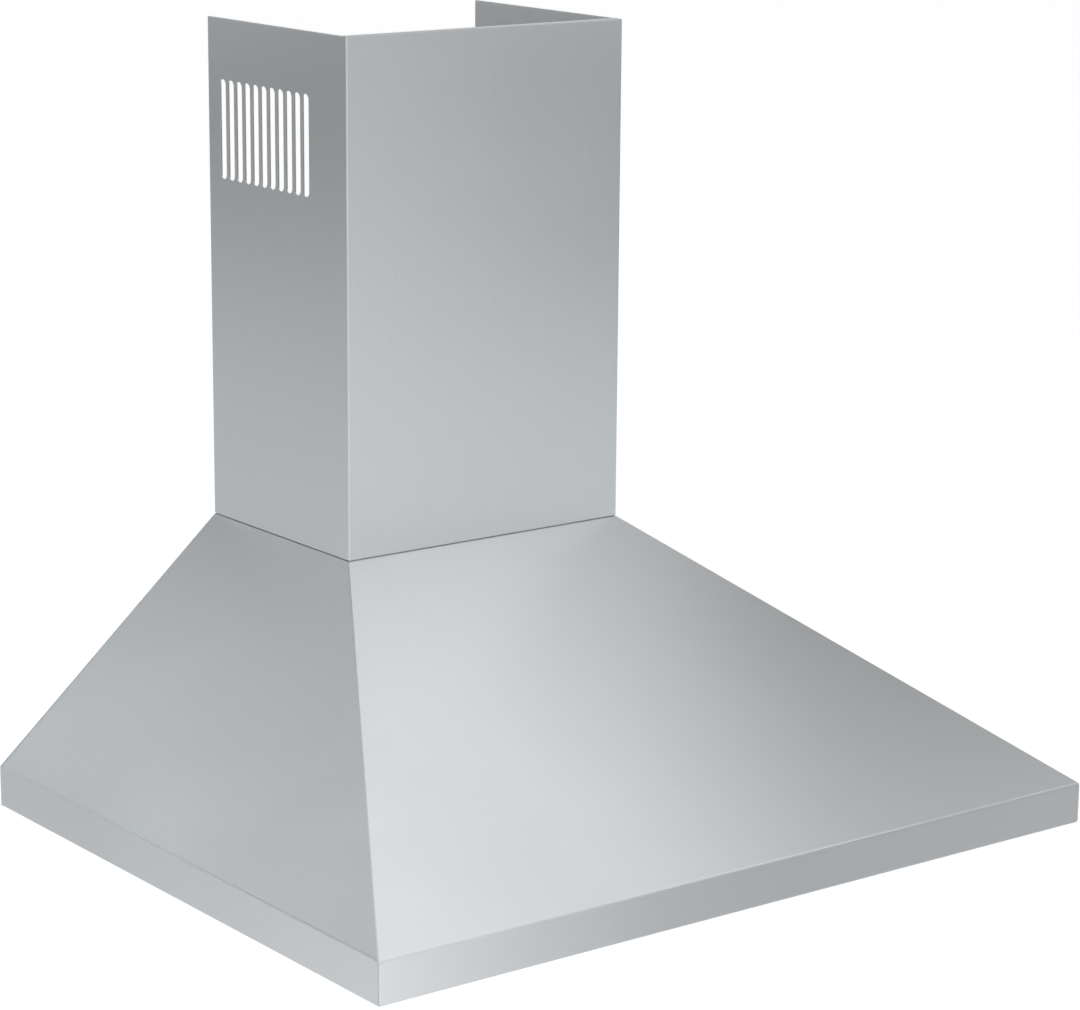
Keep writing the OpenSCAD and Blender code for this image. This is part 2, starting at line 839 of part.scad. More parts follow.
module motor_rotor_core() {
  color(dark_steel) on_axis(motor_left_x + motor_len / 2 - stack_len / 2) difference() {
    cylinder(r = rotor_r, h = stack_len);
    translate([0, 0, -past]) cylinder(r = shaft_r, h = stack_len + 2 * past, $fn = 48);
  }
}

module motor_bearings() {
  color([0.7, 0.55, 0.3])
    for (x = [motor_left_x, motor_left_x + motor_len - bearing_len]) {
      on_axis(x) difference() {
        cylinder(r = bearing_r, h = bearing_len, $fn = 48);
        translate([0, 0, -past])
          cylinder(r = shaft_r + run_fit, h = bearing_len + 2 * past, $fn = 48);
      }
    }
}

module motor_shaft() {
  color(alloy) on_axis(motor_left_x)
    cylinder(r = shaft_r, h = hub_front - motor_left_x, $fn = 48);
}

// Clamp ring and three arms that carry the motor in the left inlet
module motor_spider() {
  ring_w = 7;
  arm_w = 12;
  color(zinc) difference() {
    on_axis(-scroll_x - spider_t) linear_extrude(spider_t) difference() {
      union() {
        circle(motor_r + ring_w);
        for (a = arm_angles) {
          rotate(90 + a) translate([0, -arm_w / 2]) square([arm_reach, arm_w]);
        }
      }
      circle(motor_r);
    }
    spider_screw_places() translate([0, 0, -past])
      cylinder(r = screw_hole_r, h = spider_t + 2 * past, $fn = 32);
  }
}

module spider_screws() {
  color(zinc) spider_screw_places() {
    translate([0, 0, -screw_head_t]) cylinder(r = screw_head_r, h = screw_head_t, $fn = 32);
    cylinder(r = screw_r, h = spider_t + scroll_wall, $fn = 32);
  }
}

// Middle disc of the double-sided wheel, with its hub on the motor's shaft
module impeller() {
  color(zinc) difference() {
    union() {
      on_axis(-disc_t / 2) cylinder(r = impeller_r, h = disc_t);
      on_axis(-hub_back) cylinder(r = hub_r, h = hub_front + hub_back, $fn = 48);
    }
    on_axis(-hub_back - past)
      cylinder(r = shaft_r, h = hub_front + hub_back + 2 * past, $fn = 48);
  }
}

// Stamped blades on one side of the disc, each crimped between the disc and the end ring
module blades(side) {
  blade_lean = 28;
  blade_low = side > 0 ? disc_t / 2 : ring_t - impeller_half;
  color(zinc) on_axis(blade_low) linear_extrude(impeller_half - ring_t - disc_t / 2) {
    for (i = [0 : blade_count - 1]) {
      rotate(i * 360 / blade_count) translate([impeller_r - blade_len / 2 - 0.6, 0])
        rotate(blade_lean) square([blade_len - 1, blade_t], center = true);
    }
  }
}

module blades_left() { blades(-1); }
module blades_right() { blades(1); }

// Ring that ties the blades' ends on one side
module end_ring(side) {
  ring_low = side > 0 ? impeller_half - ring_t : -impeller_half;
  color(zinc) on_axis(ring_low) difference() {
    cylinder(r = impeller_r, h = ring_t);
    translate([0, 0, -past]) cylinder(r = impeller_r - blade_len, h = ring_t + 2 * past);
  }
}

module end_ring_left() { end_ring(-1); }
module end_ring_right() { end_ring(1); }

// Plate and collar that lead from the square throat to the round duct
module outlet_adapter() {
  skirt_in_x = scroll_x + gap;
  skirt_front = throat_front - scroll_wall - gap;
  skirt_back = throat_back + scroll_wall + gap;
  skirt_t = 1.5;
  color(black_plastic) difference() {
    union() {
      block([-skirt_in_x - skirt_t, skirt_front - skirt_t, throat_top_z - adapter_lap],
            [skirt_in_x + skirt_t, skirt_back + skirt_t, collar_z]);
      translate([0, collar_y, collar_z]) cylinder(r = collar_r, h = collar_h);
    }
    block([-skirt_in_x, skirt_front, throat_top_z - adapter_lap - past],
          [skirt_in_x, skirt_back, throat_top_z]);
    translate([0, collar_y, throat_top_z - past])
      cylinder(r = collar_in_r, h = ledge_z - flap_t - throat_top_z + past);
    translate([0, collar_y, throat_top_z])
      cylinder(r = collar_in_r - seat_ledge, h = collar_h + adapter_t);
    translate([0, collar_y, ledge_z])
      cylinder(r = collar_in_r, h = collar_z + collar_h - ledge_z + past);
    translate([-collar_r - past, collar_y, flap_axis_z]) rotate([0, 90, 0])
      cylinder(r = flap_pin_r, h = 2 * (collar_r + past), $fn = 48);
  }
}

module flap_pin() {
  color(zinc) translate([-collar_in_r - 1, collar_y, flap_axis_z]) rotate([0, 90, 0])
    cylinder(r = flap_pin_r, h = 2 * (collar_in_r + 1), $fn = 48);
}

// Half-round flap on the front side of the pin; every other knuckle is its own
module flap(first_knuckle) {
  gate = knuckle_r + 0.6;
  span = 2 * (flap_r - 3);
  piece = span / knuckle_count;
  low = -flap_drop;
  color(grey_plastic) translate([0, collar_y, flap_axis_z]) difference() {
    union() {
      translate([0, 0, low]) linear_extrude(flap_t) {
        intersection() {
          circle(flap_r);
          translate([-flap_r, -flap_r]) square([2 * flap_r, flap_r - gate]);
        }
        for (k = [first_knuckle : 2 : knuckle_count - 1]) {
          translate([-span / 2 + k * piece + gap / 2, -gate - 1]) square([piece - gap, gate + 1]);
        }
      }
      for (k = [first_knuckle : 2 : knuckle_count - 1]) {
        translate([-span / 2 + k * piece + gap / 2, 0, 0]) rotate([0, 90, 0])
          cylinder(r = knuckle_r, h = piece - gap, $fn = 48);
      }
    }
    translate([-flap_r, 0, 0]) rotate([0, 90, 0])
      cylinder(r = flap_pin_r + run_fit, h = 2 * flap_r, $fn = 48);
  }
}

module flap_front() { flap(0); }

module flap_rear() {
  translate([0, 2 * collar_y, 0]) mirror([0, 1, 0]) flap(1);
}

// Box for the mains terminals, open towards the room under its lid
module junction_box() {
  front_y = -back_sheet - box_d;
  post_r = 3;
  color(black_plastic) {
    difference() {
      block([box_x, front_y, box_z], [box_x + box_w, -back_sheet, box_z + box_h]);
      block([box_x + box_wall, front_y - past, box_z + box_wall],
            [box_x + box_w - box_wall, -back_sheet - box_wall, box_z + box_h - box_wall]);
    }
    for (x = [post_in, box_w - post_in], z = [post_in, box_h - post_in]) {
      translate([box_x + x, -back_sheet - box_wall, box_z + z]) rotate([90, 0, 0])
        cylinder(r = post_r, h = post_h, $fn = 32);
    }
  }
}

module control_board() {
  y = -back_sheet - box_wall - post_h - board_t;
  relay = [18, 12, 14];
  relay_in = 7;
  plug = [16, 8, 10];
  plug_in = 5;
  right = box_x + box_w - board_edge;
  low = box_z + board_edge;
  color([0.1, 0.35, 0.2]) {
    block([box_x + board_edge, y, low], [right, y + board_t, box_z + box_h - board_edge]);
    translate([box_x + board_edge + relay_in, y - relay[1], low + relay_in]) cube(relay);
    translate([right - plug_in - plug[0], y - plug[1], low + plug_in]) cube(plug);
  }
}

// Places of the two screws in the lid
module lid_screw_places() {
  for (side = [0, 1]) {
    translate([box_x + box_wall + 3 + side * (box_w - 2 * box_wall - 6), -back_sheet - box_d - lid_t,
               box_z + box_h / 2]) rotate([-90, 0, 0]) children();
  }
}

module junction_lid() {
  y = -back_sheet - box_d;
  color(black_plastic) difference() {
    block([box_x, y - lid_t, box_z], [box_x + box_w, y, box_z + box_h]);
    lid_screw_places() translate([0, 0, -past])
      cylinder(r = screw_hole_r, h = lid_t + 2 * past, $fn = 32);
  }
}

module junction_lid_screws() {
  color(zinc) lid_screw_places() {
    translate([0, 0, -screw_head_t]) cylinder(r = screw_head_r, h = screw_head_t, $fn = 32);
    cylinder(r = screw_r, h = lid_t + 8, $fn = 32);
  }
}

// Motor capacitor, upright beside the blower
module capacitor() {
  color(alloy) translate([cap_x, -back_sheet - cap_off - cap_r, cap_z]) {
    cylinder(r = cap_r, h = cap_h);
    for (x = [-5, 5]) {
      translate([x - 1, -3, cap_h]) cube([1, 6, 8]);
    }
  }
}

module capacitor_clip() {
  band_h = 12;
  foot_w = 44;
  band_z = cap_z + cap_h / 2 - band_h / 2;
  color(zinc) {
    translate([cap_x, -back_sheet - cap_off - cap_r, band_z]) difference() {
      cylinder(r = cap_r + clip_t, h = band_h);
      translate([0, 0, -past]) cylinder(r = cap_r, h = band_h + 2 * past);
    }
    difference() {
      block([cap_x - foot_w / 2, -back_sheet - clip_t, band_z],
            [cap_x + foot_w / 2, -back_sheet, band_z + band_h]);
      translate([cap_x, -back_sheet - cap_off - cap_r, band_z - past])
        cylinder(r = cap_r, h = band_h + 2 * past);
    }
  }
}

// Ring gland that the mains lead passes through
module cable_gland() {
  nut_t = 4;
  neck_up = 10;
  color(black_plastic) gland_place() difference() {
    union() {
      translate([0, 0, -nut_t]) cylinder(r = gland_nut_r, h = nut_t, $fn = 48);
      cylinder(r = gland_r, h = neck_sheet + neck_up, $fn = 48);
      translate([0, 0, neck_sheet]) cylinder(r = gland_nut_r, h = nut_t, $fn = 48);
    }
    translate([0, 0, -nut_t - past])
      cylinder(r = gland_bore_r, h = nut_t + neck_sheet + neck_up + 2 * past, $fn = 48);
  }
}

canopy_front();
canopy_side_left();
canopy_side_right();
rim_side_left();
rim_side_right();
back_panel();
neck_plate();
lower_cover();
upper_cover();
cover_screws();
lamp_panel();
filter_support();
filter_frame_left();
filter_frame_right();
filter_mesh_left();
filter_mesh_right();
filter_latch_left();
filter_latch_right();
latch_spring_left();
latch_spring_right();
lamp_bezel_left();
lamp_bezel_right();
lamp_lens_left();
lamp_lens_right();
lamp_body_left();
lamp_body_right();
control_plate();
switch_box();
speed_slider();
light_slider();
scroll_left();
scroll_right();
blower_screws();
motor_housing();
motor_stator();
motor_bearings();
motor_spider();
spider_screws();
motor_rotor_core();
motor_shaft();
impeller();
blades_left();
blades_right();
end_ring_left();
end_ring_right();
outlet_adapter();
flap_pin();
flap_front();
flap_rear();
junction_box();
junction_lid();
junction_lid_screws();
control_board();
capacitor();
capacitor_clip();
cable_gland();
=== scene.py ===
"""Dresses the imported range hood: folded steel sheets, filters, lamps, controls, blower and a plain studio."""
import json
import math
from collections import namedtuple

import bmesh
import bpy
from mathutils import Matrix, Vector


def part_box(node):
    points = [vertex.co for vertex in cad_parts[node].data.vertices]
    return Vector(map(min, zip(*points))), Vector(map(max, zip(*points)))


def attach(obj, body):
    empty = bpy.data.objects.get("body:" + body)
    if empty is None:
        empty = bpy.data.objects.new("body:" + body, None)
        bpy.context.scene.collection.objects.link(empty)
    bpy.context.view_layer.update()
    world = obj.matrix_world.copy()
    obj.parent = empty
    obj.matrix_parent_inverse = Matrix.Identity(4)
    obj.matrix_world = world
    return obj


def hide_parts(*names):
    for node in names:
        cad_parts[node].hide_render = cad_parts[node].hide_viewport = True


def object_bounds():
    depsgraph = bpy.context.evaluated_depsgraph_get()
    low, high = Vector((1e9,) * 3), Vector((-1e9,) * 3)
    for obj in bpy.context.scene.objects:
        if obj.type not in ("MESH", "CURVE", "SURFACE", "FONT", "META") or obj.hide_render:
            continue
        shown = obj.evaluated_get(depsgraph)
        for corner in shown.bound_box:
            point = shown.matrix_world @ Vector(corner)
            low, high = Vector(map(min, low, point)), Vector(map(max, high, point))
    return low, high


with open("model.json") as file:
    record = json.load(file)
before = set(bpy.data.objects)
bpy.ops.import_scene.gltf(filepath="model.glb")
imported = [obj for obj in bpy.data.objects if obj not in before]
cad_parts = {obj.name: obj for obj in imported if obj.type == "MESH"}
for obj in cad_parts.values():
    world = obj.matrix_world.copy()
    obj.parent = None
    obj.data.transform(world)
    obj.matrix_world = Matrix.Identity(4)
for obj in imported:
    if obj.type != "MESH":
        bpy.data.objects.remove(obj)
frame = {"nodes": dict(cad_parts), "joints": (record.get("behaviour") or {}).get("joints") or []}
CAD_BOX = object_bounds()

bl_info = {
    "name": "Range hood finishes",
    "version": (1, 0, 0),
    "blender": (4, 5, 0),
    "location": "View3D > Sidebar > Hood",
    "description": "Builds the folded sheets, filters, controls and finishes of a wall-mounted pyramid hood",
    "category": "Object",
}

MM = 0.001
# Ending of the finishes' names
FINISH = "_finish"
# Distance kept between sheets that lie face to face
GAP = 0.05 * MM
# Places nearer to each other than this count as the same
TINY = 1e-6


def low(node):
    """Lowest corner of a node's box."""
    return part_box(node)[0]


def high(node):
    """Highest corner of a node's box."""
    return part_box(node)[1]


# Thickness of the filter support. The side bands' hems reach up to its lower face.
SUPPORT_SHEET = 1 * MM
# Places that the pieces share, read from the frame
RIM_X = CAD_BOX[1].x
FRONT_Y = CAD_BOX[0].y
RIM_Z = CAD_BOX[0].z
TOP_Z = CAD_BOX[1].z
NECK_Z = low("neck_plate").z
CHIMNEY_X = high("lower_cover").x
CHIMNEY_Y = low("lower_cover").y
BAND_TOP_Z = high("rim_side_left").z
BACK_Y = high("rim_side_left").y
SHEET = low("rim_side_left").y - FRONT_Y
HEM_X = -high("rim_side_left").x
HEM_Y = low("lamp_panel").y + SHEET
STRIP_Z = low("lamp_panel").z
SUPPORT_Z = high("filter_support").z - SUPPORT_SHEET
FLANGE_Z = low("canopy_side_left").z
# Rise of a sloping side sheet over its run
SIDE_SLOPE = (NECK_Z - BAND_TOP_Z) / (RIM_X - CHIMNEY_X)


# Settings
def length_prop(name, description, default, **limits):
    """A length that the user can set."""
    return bpy.props.FloatProperty(name=name, description=description, default=default,
                                   subtype="DISTANCE", unit="LENGTH", **limits)


def colour_prop(name, description, default):
    """A colour that the user can set."""
    return bpy.props.FloatVectorProperty(name=name, description=description, default=default,
                                         size=3, min=0, max=1, subtype="COLOR")


class HoodSheetSettings(bpy.types.PropertyGroup):
    seam: length_prop(
        "Rim seam", "Height of the line between side band and sloping sheet",
        0.1 * MM, min=0, max=1 * MM)
    corner_gap: length_prop(
        "Corner line", "Width of the upright line between side band and front",
        0.2 * MM, min=0, max=1 * MM)
    seam_end: length_prop("Seam end", "Distance from the wall at which the rim seam closes", 26 * MM)
    fold_radius: length_prop(
        "Fold radius", "Outer radius of a fold in the canopy sheet",
        1.4 * MM, min=0.9 * MM, max=3 * MM)
    cover_radius: length_prop(
        "Cover fold radius", "Outer radius of the chimney cover's upright folds",
        1.3 * MM, min=0.8 * MM, max=3 * MM)
    cover_sheet: length_prop(
        "Cover sheet", "Thickness of the chimney covers",
        0.7 * MM, min=0.4 * MM, max=1 * MM)
    edge: length_prop(
        "Deburred edge", "Width of the softened edge of a cut sheet",
        0.2 * MM, min=0, max=0.4 * MM)
    joint_edge: length_prop(
        "Edge at a joint", "Width of the softened edge where two sheets meet in a fine line",
        0.06 * MM, min=0, max=0.4 * MM)
    steel: colour_prop("Steel", "Colour of the brushed stainless steel", (0.59, 0.605, 0.615))
    roughness: bpy.props.FloatProperty(
        name="Roughness", description="Mean roughness of the brushed steel", default=0.42, min=0.05, max=1)
    streak: bpy.props.FloatProperty(
        name="Streak", description="How much the brush lines spread a reflection across them",
        default=0.8, min=0, max=1)


class HoodSlotSettings(bpy.types.PropertyGroup):
    count: bpy.props.IntProperty(
        name="Slots", description="Air slots in each side of the chimney", default=11, min=1, max=11)
    pitch: length_prop("Pitch", "Distance between neighbouring slots", 10.66 * MM)
    first: length_prop("First slot", "Distance from the wall to the first slot's centre", 19 * MM)
    width: length_prop("Width", "Width of a slot in the lower cover", 7.6 * MM)
    height: length_prop("Height", "Height of a slot", 71 * MM)
    drop: length_prop("Drop", "Distance from the chimney's top edge down to the slots", 43 * MM)
    wider: length_prop("Wider", "How much wider the slots of the upper cover are", 1.2 * MM)
    taller: length_prop("Taller", "How much taller the slots of the upper cover are", 8 * MM)


class HoodFilterSettings(bpy.types.PropertyGroup):
    border: length_prop("Border", "Width of the frame round the metal net", 11 * MM)
    long_way: length_prop("Diamond length", "Length of one diamond of the outer net", 10 * MM, min=4 * MM)
    short_way: length_prop("Diamond width", "Width of one diamond of the outer net", 6 * MM, min=3 * MM)
    strand: length_prop("Strand", "Thickness of a strand of the net", 0.8 * MM, min=0.3 * MM)
    wave: length_prop("Wave", "Height of the net's pressed waves", 0.7 * MM, min=0)


class HoodColourSettings(bpy.types.PropertyGroup):
    galvanised: colour_prop("Galvanised", "Zinc coat of back panel, support and blower", (0.55, 0.57, 0.58))
    dark_steel: colour_prop("Dark steel", "Neck plate and motor shaft", (0.4, 0.405, 0.415))
    screws: colour_prop("Screws", "Plated screws, pins and springs", (0.6, 0.61, 0.62))
    filter_alloy: colour_prop("Filter frame", "Aluminium of the filters' frames", (0.52, 0.53, 0.54))
    mesh_alloy: colour_prop("Filter net", "Aluminium of the filters' nets", (0.56, 0.57, 0.58))
    lamp_trim: colour_prop("Lamp trim", "Ring round each lamp", (0.5, 0.51, 0.52))
    lamp_cup: colour_prop("Lamp cup", "Cup behind each lamp", (0.2, 0.205, 0.21))
    iron_core: colour_prop("Iron core", "Iron sheets of the motor", (0.3, 0.29, 0.28))
    bronze: colour_prop("Bronze", "Bearings of the motor", (0.62, 0.42, 0.22))
    capacitor_can: colour_prop("Capacitor", "Aluminium can of the capacitor", (0.64, 0.65, 0.66))
    motor_paint: colour_prop("Motor paint", "Paint of the motor's housing", (0.09, 0.095, 0.1))
    black_plastic: colour_prop("Black plastic", "Control plate, box, gland and outlet", (0.018, 0.018, 0.02))
    grey_plastic: colour_prop("Grey plastic", "Sliders, switch box, latches and flaps", (0.2, 0.205, 0.215))
    printed_figures: colour_prop("Figures", "Print on the control plate", (0.72, 0.72, 0.7))


class HoodStageSettings(bpy.types.PropertyGroup):
    camera_place: bpy.props.FloatVectorProperty(
        name="Camera", description="Camera's place", default=(-1.4097, -2.1049, 0.6792), size=3,
        subtype="TRANSLATION", unit="LENGTH")
    camera_yaw: bpy.props.FloatProperty(
        name="Yaw", description="Turn of the view from the wall's normal to the right",
        default=math.radians(37.075), subtype="ANGLE", unit="ROTATION")
    camera_pitch: bpy.props.FloatProperty(
        name="Pitch", description="Tilt of the view below the horizon",
        default=math.radians(13.419), subtype="ANGLE", unit="ROTATION")
    camera_roll: bpy.props.FloatProperty(
        name="Roll", description="Turn of the camera about its view", default=0.0077,
        subtype="ANGLE", unit="ROTATION")
    lens: bpy.props.FloatProperty(
        name="Lens", description="Focal length in millimetres on a 36 mm sensor", default=114.94)
    floor_drop: length_prop("Floor drop", "Distance from the rim down to the floor", 0.9)
    sky: bpy.props.FloatProperty(
        name="Sky", description="Brightness of the light from all round", default=0.55, min=0)


# Outlines
def rounded(corners, radii, steps=5):
    """Path through the corners, with each inner corner replaced by an arc of its radius."""
    path = [Vector(corners[0])]
    for before, corner, after, radius in zip(corners, corners[1:], corners[2:], radii):
        corner = Vector(corner)
        back = (Vector(before) - corner).normalized()
        ahead = (Vector(after) - corner).normalized()
        half = back.angle(ahead) / 2
        centre = corner + (back + ahead).normalized() * radius / math.sin(half)
        spoke = corner + back * radius / math.tan(half) - centre
        turn = math.pi - 2 * half
        if back.x * ahead.y - back.y * ahead.x > 0:
            turn = -turn
        for i in range(steps + 1):
            path.append(centre + Matrix.Rotation(turn * i / steps, 2) @ spoke)
    path.append(Vector(corners[-1]))
    return path


def inward(path, distance):
    """The same path moved to its left side by the distance, corner by corner."""
    moved = []
    for i, point in enumerate(path):
        first = point - path[i - 1] if i else path[1] - point
        last = path[i + 1] - point if i < len(path) - 1 else first
        n1 = Vector((-first.y, first.x)).normalized()
        n2 = Vector((-last.y, last.x)).normalized()
        bisector = (n1 + n2).normalized()
        moved.append(point + bisector * distance / bisector.dot(n1))
    return moved


def level_start(path, moved):
    """Slides the moved path's first point along its sheet to the height of the path's own start."""
    share = (path[0].y - moved[0].y) / (moved[1].y - moved[0].y)
    moved[0] = moved[0] + (moved[1] - moved[0]) * share


# Meshes
class Skin:
    """Faces of one side of a sheet. Each point also has its place on the sheet's other side."""

    def __init__(self):
        self.outer = []
        self.inner = []
        self.faces = []
        self.known = {}

    def point(self, outer, inner):
        """Number of a point, which is added when no point lies there yet."""
        key = tuple(round(v, 7) for v in outer)
        if key not in self.known:
            self.known[key] = len(self.outer)
            self.outer.append(Vector(outer))
            self.inner.append(Vector(inner))
        return self.known[key]

    def face(self, *points):
        """Adds a face through (outer, inner) points."""
        self.faces.append([self.point(*p) for p in points])

    def grid(self, rows):
        """Faces between rows of (outer, inner) points. Rows of unlike length share one face."""
        for row, following in zip(rows, rows[1:]):
            if len(row) == len(following):
                for a, b, c, d in zip(row, row[1:], following[1:], following):
                    self.face(a, b, c, d)
            else:
                self.face(*row, *reversed(following))

    def build(self, bm):
        """Adds both sides of the sheet and the cut edges between them to a mesh."""
        outer = [bm.verts.new(p) for p in self.outer]
        inner = [bm.verts.new(p) for p in self.inner]
        used = {}
        for face in self.faces:
            bm.faces.new([outer[i] for i in face])
            bm.faces.new([inner[i] for i in reversed(face)])
            for a, b in zip(face, face[1:] + face[:1]):
                used.setdefault(frozenset((a, b)), []).append((a, b))
        for ways in used.values():
            if len(ways) == 1:
                a, b = ways[0]
                bm.faces.new([outer[b], outer[a], inner[a], inner[b]])

    def mesh(self):
        """The sheet as a new mesh of its own."""
        bm = bmesh.new()
        self.build(bm)
        return bm


def new_piece(name, bm, body, material):
    """A piece made from a mesh that rides on a body and has one finish."""
    bmesh.ops.recalc_face_normals(bm, faces=bm.faces)
    mesh = bpy.data.meshes.new(name)
    bm.to_mesh(mesh)
    bm.free()
    mesh.polygons.foreach_set("use_smooth", [True] * len(mesh.polygons))
    mesh.materials.append(material)
    piece = bpy.data.objects.new(name, mesh)
    bpy.context.scene.collection.objects.link(piece)
    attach(piece, body)
    return piece


def soften(piece, width, angle=38):
    """Rounds the edges sharper than the angle in degrees and keeps flat faces flat."""
    weld = piece.modifiers.new("weld", "WELD")
    weld.merge_threshold = 0.01 * MM
    bevel = piece.modifiers.new("edges", "BEVEL")
    bevel.limit_method = "ANGLE"
    bevel.angle_limit = math.radians(angle)
    bevel.width = width
    bevel.segments = 2
    normals = piece.modifiers.new("normals", "WEIGHTED_NORMAL")
    normals.weight = 80
    return piece


def dress(nodes, slot, edge, material=None):
    """Gives CAD nodes a finish, by default the slot's own, and soft edges of that width.

    With an edge of 0 they stay flat sheets with cut edges."""
    for node in nodes:
        piece = frame["nodes"][node]
        piece.data.materials.clear()
        piece.data.materials.append(material or finish(slot))
        piece.data.polygons.foreach_set("use_smooth", [edge > 0] * len(piece.data.polygons))
        if edge > 0:
            soften(piece, edge)


def mirrored(bm):
    """The same mesh on the other side of the middle plane."""
    for vert in bm.verts:
        vert.co.x = -vert.co.x
    return bm


def lathe(bm, profile, centre, count):
    """Closed body of revolution about an upright axis. The profile is (radius, height) pairs."""
    rings = []
    for radius, height in profile:
        steps = count if radius > 0 else 1
        rings.append([bm.verts.new((centre[0] + radius * math.cos(math.tau * i / count),
                                    centre[1] + radius * math.sin(math.tau * i / count),
                                    centre[2] + height)) for i in range(steps)])
    for below, above in zip(rings, rings[1:]):
        for i in range(count):
            j = (i + 1) % count
            corners = [below[i % len(below)], below[j % len(below)],
                       above[j % len(above)], above[i % len(above)]]
            bm.faces.new(list(dict.fromkeys(corners)))


# Finishes
def put(tree, value, socket):
    """Links a socket to another node's output, or sets it to a plain value."""
    if isinstance(value, bpy.types.NodeSocket):
        tree.links.new(value, socket)
    else:
        socket.default_value = value


def add_node(tree, kind, inputs=None, **settings):
    """A shader node with its settings and with its inputs set or linked."""
    node = tree.nodes.new("ShaderNode" + kind)
    for name, value in settings.items():
        setattr(node, name, value)
    for name, value in (inputs or {}).items():
        put(tree, value, node.inputs[name])
    return node


def new_material(name):
    """A new material with its node tree and main shader, or the one made before and two Nones.

    The frame brings plain materials with the same names, so these get an ending of their own."""
    material = bpy.data.materials.get(name + FINISH)
    if material:
        return material, None, None
    material = bpy.data.materials.new(name + FINISH)
    material.use_nodes = True
    return material, material.node_tree, material.node_tree.nodes["Principled BSDF"]


def place_on_piece(tree, stretch=(1, 1, 1)):
    """Coordinates of the piece in metres, multiplied by the stretch."""
    place = add_node(tree, "TexCoord").outputs["Object"]
    return add_node(tree, "Mapping", {"Vector": place, "Scale": stretch}).outputs["Vector"]


def noise_of(tree, vector, scale=1.0, detail=3.0, rough=0.6):
    """Soft noise with that many cells to the coordinate's unit."""
    inputs = {"Vector": vector, "Scale": scale, "Detail": detail, "Roughness": rough}
    return add_node(tree, "TexNoise", inputs).outputs["Fac"]


def spread(tree, value, lowest, highest, start=0.3, end=0.7):
    """A value from start to end brought to the range from lowest to highest."""
    inputs = {"Value": value, "From Min": start, "From Max": end, "To Min": lowest, "To Max": highest}
    return add_node(tree, "MapRange", inputs).outputs["Result"]


def mix_colours(tree, value, first, second):
    """The first colour where the value is 0 and the second where it is 1."""
    node = add_node(tree, "Mix", data_type="RGBA")
    put(tree, value, node.inputs["Factor"])
    put(tree, first, node.inputs[6])
    put(tree, second, node.inputs[7])
    return node.outputs[2]


def shade(colour, share):
    """The colour made darker or lighter by the share."""
    return tuple(min(1.0, c * share) for c in colour[:3]) + (1.0,)


def bump(tree, shader, height, distance):
    """Raises the surface by up to the distance where the height is 1."""
    node = add_node(tree, "Bump", {"Height": height, "Distance": distance, "Strength": 1.0})
    tree.links.new(node.outputs["Normal"], shader.inputs["Normal"])


def sheet_steel(direction):
    """Brushed stainless steel whose fine lines run along X, Y or Z."""
    settings = bpy.context.scene.hood_sheets
    material, tree, shader = new_material("brushed_steel_" + direction.lower())
    if tree is None:
        return material
    lines_across = 2600
    lines_along = 45
    contrast = 0.03
    flutter = 0.03
    cloudiness = 0.02
    line_depth = 0.008 * MM
    shader.inputs["Metallic"].default_value = 1.0
    shader.inputs["Anisotropic"].default_value = settings.streak
    # The line is tilted a little, because a face square to it would have no tangent.
    line = tuple(1.0 if axis == direction else tilt for axis, tilt in zip("XYZ", (0.02, 0.03, 0.025)))
    normal = add_node(tree, "NewGeometry").outputs["True Normal"]
    cross = add_node(tree, "VectorMath", {0: normal, 1: line}, operation="CROSS_PRODUCT")
    put(tree, cross.outputs[0], shader.inputs["Tangent"])
    colour = tuple(settings.steel)
    stretch = tuple(lines_along if axis == direction else lines_across for axis in "XYZ")
    lines = noise_of(tree, place_on_piece(tree, stretch), detail=4, rough=0.75)
    haze = noise_of(tree, place_on_piece(tree), scale=6, detail=3)
    tone = mix_colours(tree, spread(tree, lines, 0, 1), shade(colour, 1 - contrast),
                       shade(colour, 1 + contrast))
    put(tree, tone, shader.inputs["Base Color"])
    fine = spread(tree, lines, settings.roughness - flutter, settings.roughness + flutter)
    broad = spread(tree, haze, -cloudiness, cloudiness)
    total = add_node(tree, "Math", {0: fine, 1: broad}, operation="ADD").outputs[0]
    put(tree, total, shader.inputs["Roughness"])
    bump(tree, shader, lines, line_depth)
    return material


def plain_metal(name, colour, rough, grain=900, crystals=0):
    """Metal with fine grain and worn patches, or with that many zinc crystals to the metre."""
    material, tree, shader = new_material(name)
    if tree is None:
        return material
    wear = 0.06
    grain_depth = 0.008 * MM
    shader.inputs["Metallic"].default_value = 1.0
    place = place_on_piece(tree)
    fine = noise_of(tree, place, scale=grain, detail=4)
    value, contrast = fine, 0.1
    if crystals:
        cells = add_node(tree, "TexVoronoi", {"Vector": place, "Scale": crystals})
        value = add_node(tree, "SeparateColor", {"Color": cells.outputs["Color"]}).outputs["Red"]
        contrast = 0.04
    tone = mix_colours(tree, spread(tree, value, 0, 1, 0.2, 0.8), shade(colour, 1 - contrast),
                       shade(colour, 1 + contrast))
    put(tree, tone, shader.inputs["Base Color"])
    worn = noise_of(tree, place, scale=35, detail=5)
    put(tree, spread(tree, worn, rough - wear, rough + wear), shader.inputs["Roughness"])
    bump(tree, shader, fine, grain_depth)
    return material


